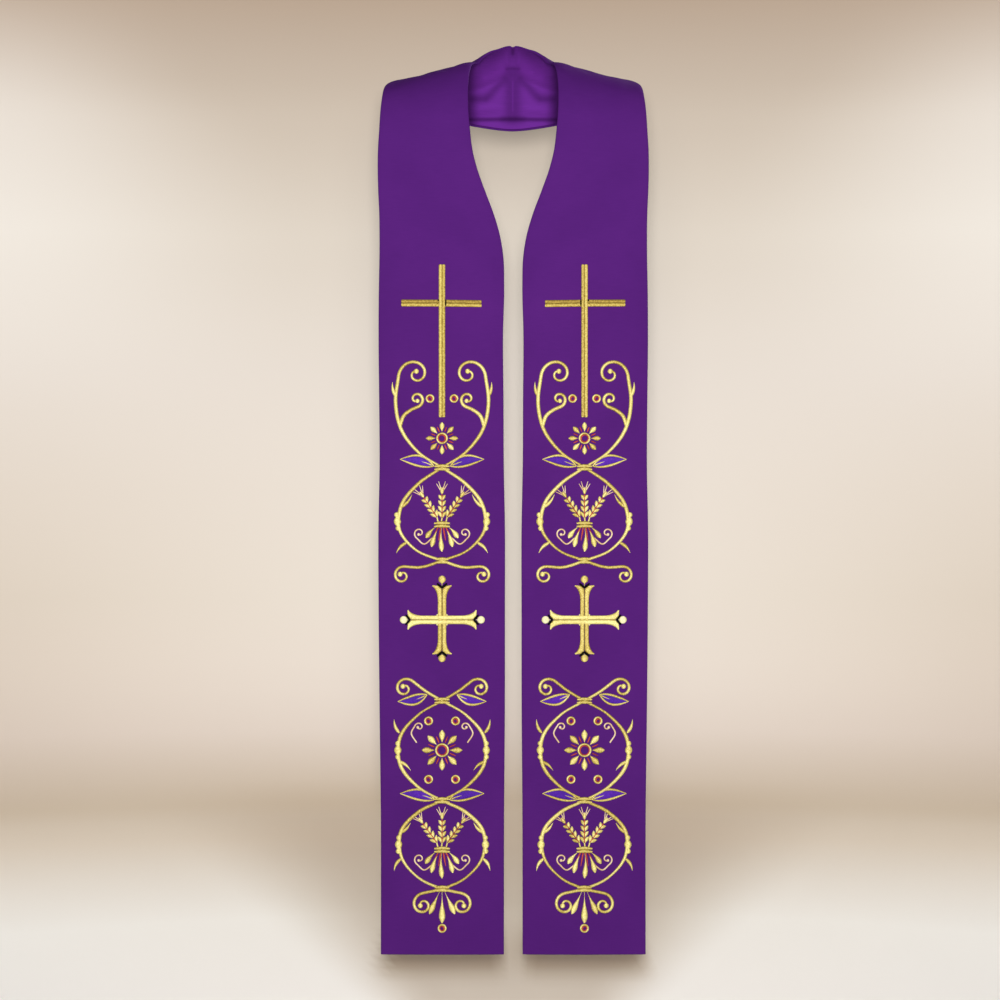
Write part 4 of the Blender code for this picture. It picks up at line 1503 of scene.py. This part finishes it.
def sweep_painted_light(points):
    """The painted light and painted shadow at each point of the sweep, for red, green and blue."""
    up = np.hypot(points[:, 0], points[:, 1]) + points[:, 2] - floor_z
    out, back = np.abs(points[:, 0]), points[:, 1]
    ups, *columns = np.transpose(PAINTED_LIGHT_GRADES)
    behind, aside, start = (np.interp(up, ups, column) for column in columns)
    painted_light_and_shadow = behind + (aside - behind) * smooth_step(out, start, GRADE_UNTIL)
    # Painted shadow of the stole on the floor behind it: a broad wedge
    slope = out / np.maximum(back, 0.01)
    wedge = 1 - smooth_step(slope, SHADE_SLOPE, SHADE_SLOPE + SHADE_SOFT)
    wedge *= smooth_step(back, 0, 1)
    painted_light_and_shadow *= 1 - wedge * np.interp(up, *zip(*FLOOR_SHADE))
    # Painted shadow, darker, just behind the hems of the two panels
    off = np.abs(points[:, 0] - HEM_SHADE_MIDDLE)
    hems = smooth_step(off, HEM_SHADE_IN - HEM_SHADE_SOFT, HEM_SHADE_IN + HEM_SHADE_SOFT)
    hems *= 1 - smooth_step(off, HEM_SHADE_OUT - HEM_SHADE_SOFT, HEM_SHADE_OUT + HEM_SHADE_SOFT)
    hems *= smooth_step(back, HEM_SHADE_NEAR, HEM_SHADE_FULL)
    hems *= 1 - smooth_step(back, HEM_SHADE_FAR, HEM_SHADE_END)
    painted_light_and_shadow *= 1 - hems * HEM_SHADE
    return painted_light_and_shadow[:, None] ** SHADE_WARMTH


corners = np.array([corner.co for corner in stage_mesh.vertices])
grades = np.column_stack([sweep_painted_light(corners), np.ones(len(corners))])
kept_grades = stage_mesh.attributes.new("painted_light_and_shadow", "FLOAT_COLOR", "POINT")
kept_grades.data.foreach_set("color", grades.ravel())
print("lightest and darkest paint:", np.round([grades.max(), grades.min()], 2))

# %% [markdown]
# ### Material: studio paint
# Studio sweeps are rolled with matt emulsion paint, which is white pigment and chalk in water. It
# scatters light evenly, so the sweep shows no glare from the lamps. Its base colour runs through a
# ramp up the sweep, with lighter and darker bands of painted light, and the painted light and
# painted shadow kept at each corner of the mesh lighten or darken it.

# %% Studio paint
SWEEP_LENGTH = 10.0
# Colours up the sweep, with lighter and darker bands of painted light
SWEEP_COLOURS_AND_PAINTED_LIGHT = [(1.2, "#f4efe9"), (2.0, "#f9f4ec"), (3.3, "#e6d5c0"), (4.0, "#dbc8b0"),
                 (4.7, "#e7d8cb"), (5.6, "#ded3c6"), (6.7, "#ded6ce"), (7.2, "#e1dad1"),
                 (7.6, "#d5cbc0"), (8.1, "#ac9682")]

paint, tree, shader = start_material("matt_studio_paint", roughness=0.95)
place = add_node(tree, "ShaderNodeTexCoord").outputs["Object"]
level = add_node(tree, "ShaderNodeVectorMath", {"operation": "MULTIPLY", 1: (1, 1, 0)}, {0: place})
radius = add_node(tree, "ShaderNodeVectorMath", {"operation": "LENGTH"}, {0: level.outputs[0]})
height = add_node(tree, "ShaderNodeSeparateXYZ", links={0: place}).outputs["Z"]
height = add_node(tree, "ShaderNodeMath", {"operation": "SUBTRACT", 1: floor_z}, {0: height})
up_the_sweep = add_node(tree, "ShaderNodeMath", {"operation": "ADD"},
                        {0: radius.outputs["Value"], 1: height.outputs[0]})
share = add_node(tree, "ShaderNodeMath", {"operation": "DIVIDE", 1: SWEEP_LENGTH},
                 {0: up_the_sweep.outputs[0]})
colour = add_node(tree, "ShaderNodeValToRGB", links={0: share.outputs[0]},
                  stops=[(at / SWEEP_LENGTH, colour) for at, colour in SWEEP_COLOURS_AND_PAINTED_LIGHT])
painted_light_and_shadow = add_node(tree, "ShaderNodeAttribute", {"attribute_name": "painted_light_and_shadow"}).outputs["Color"]
graded = add_node(tree, "ShaderNodeVectorMath", {"operation": "MULTIPLY"},
                  {0: colour.outputs["Color"], 1: painted_light_and_shadow})
tree.links.new(graded.outputs[0], shader.inputs["Base Color"])
stage_mesh.materials.append(paint)
print(paint.name, "through", len(SWEEP_COLOURS_AND_PAINTED_LIGHT), "colours")

# %% [markdown]
# ## The lamps
# The main light is a broad softbox before the chest with a soft sun a little below the eye, so
# the panels are lit evenly, a little less towards the hem, and the tops of the shoulders stay
# darker. A weaker sun lights the back.
#
# The backdrop has lamps of its own, which light linking keeps off the stole, so that the wall can
# be bright without washing the creases out. The stole's lamps are kept off the backdrop in turn.
# Two are a small flash just above the lens and its umbrella: the shadows that they throw of the
# stole show only as a soft dark rim below the hem and the collar. The others are suns without
# shadows, from all sides.

# %% Table of suns
Sun = namedtuple("Sun", "name azimuth elevation strength softness")
STOLE_SUNS = [
    Sun("front_sun", 0, -12, 1.15, 10),
    Sun("back_light", 138, 26, 2.3, 14),
    Sun("left_fill", -82, 10, 0.3, 50),
    Sun("right_fill", 82, 10, 0.3, 50),
]
BACKDROP_SUNS = [
    Sun("backdrop_front", 0, 15, 0.6, 30),
    Sun("backdrop_front_left", -60, 15, 0.6, 30),
    Sun("backdrop_front_right", 60, 15, 0.6, 30),
    Sun("backdrop_back_left", -120, 15, 1.16, 30),
    Sun("backdrop_back_right", 120, 15, 1.16, 30),
    Sun("backdrop_back", 180, 15, 1.25, 30),
]
LAMP_COLOUR = linear("#fffdfa")[:3]

stole_only = bpy.data.collections.new("stole_only")
backdrop_only = bpy.data.collections.new("backdrop_only")
for thing in bpy.context.scene.objects:
    if thing.type == "MESH":
        (backdrop_only if thing == cove else stole_only).objects.link(thing)


def add_lamp(name, kind, turn, receivers, settings):
    """A lamp that shines along +Y before it is turned, by degrees about X and then about Z."""
    lamp = bpy.data.lights.new(name, kind)
    lamp.color = LAMP_COLOUR
    for setting, value in settings.items():
        setattr(lamp, setting, value)
    holder = bpy.data.objects.new(name, lamp)
    bpy.context.scene.collection.objects.link(holder)
    holder.rotation_euler = (math.radians(90 + turn[0]), 0, math.radians(turn[1]))
    holder.visible_camera = False
    holder.light_linking.receiver_collection = receivers
    return holder


def add_suns(suns, receivers, shadows):
    for sun in suns:
        add_lamp(sun.name, "SUN", (-sun.elevation, sun.azimuth), receivers,
                 {"energy": sun.strength, "angle": math.radians(sun.softness),
                  "use_shadow": shadows})


add_suns(STOLE_SUNS, stole_only, shadows=True)
print(len(STOLE_SUNS), "suns on the stole")

# %% Softbox, flash and world
SOFTBOX_AT = (0.0, -2.0, -0.2)
SOFTBOX_SIZE, SOFTBOX_POWER = 0.5, 22.0
Flash = namedtuple("Flash", "name above_lens power radius")
FLASHES = [Flash("flash", 0.027, 1340.0, 0.027), Flash("flash_umbrella", 0.10, 540.0, 0.12)]
LENS_AT = (-0.0177, -3.64, -0.583)
FLASH_CONE, FLASH_BLEND, FLASH_TILT = 56, 0.8, 8
AIR_LIGHT = 0.2

softbox = add_lamp("front_softbox", "AREA", (0, 0), stole_only,
                   {"energy": SOFTBOX_POWER, "size": SOFTBOX_SIZE})
softbox.location = SOFTBOX_AT
for flash in FLASHES:
    lamp = add_lamp(flash.name, "SPOT", (FLASH_TILT, 0), backdrop_only,
                    {"energy": flash.power, "shadow_soft_size": flash.radius,
                     "spot_size": math.radians(FLASH_CONE), "spot_blend": FLASH_BLEND})
    lamp.location = (LENS_AT[0], LENS_AT[1], LENS_AT[2] + flash.above_lens)
add_suns(BACKDROP_SUNS, backdrop_only, shadows=False)

world = bpy.data.worlds.new("studio_air")
bpy.context.scene.world = world
world.use_nodes = True
world.node_tree.nodes["Background"].inputs["Color"].default_value = linear("#faf8f6")
world.node_tree.nodes["Background"].inputs["Strength"].default_value = AIR_LIGHT
bpy.context.scene.view_settings.view_transform = "Standard"
print(len(bpy.data.lights), "lights")

# %% [markdown]
# ## The camera
# The stole is seen straight from the front, level, from three and a half metres away, with the
# camera at about half of its height. A long lens keeps its sides almost parallel.

# %% Camera
CAMERA_AT = (-0.0177, -3.64287, -0.58283)
SENSOR = 36.0
FOCAL_PER_SENSOR = 3500 / 1333.3

view_camera = bpy.data.cameras.new("front_camera")
view_camera.sensor_width = SENSOR
view_camera.lens = SENSOR * FOCAL_PER_SENSOR
camera = bpy.data.objects.new("front_camera", view_camera)
camera.location = CAMERA_AT
camera.rotation_euler = (math.radians(90), 0, 0)
bpy.context.scene.collection.objects.link(camera)
bpy.context.scene.camera = camera
print("lens", round(view_camera.lens, 1), "mm")
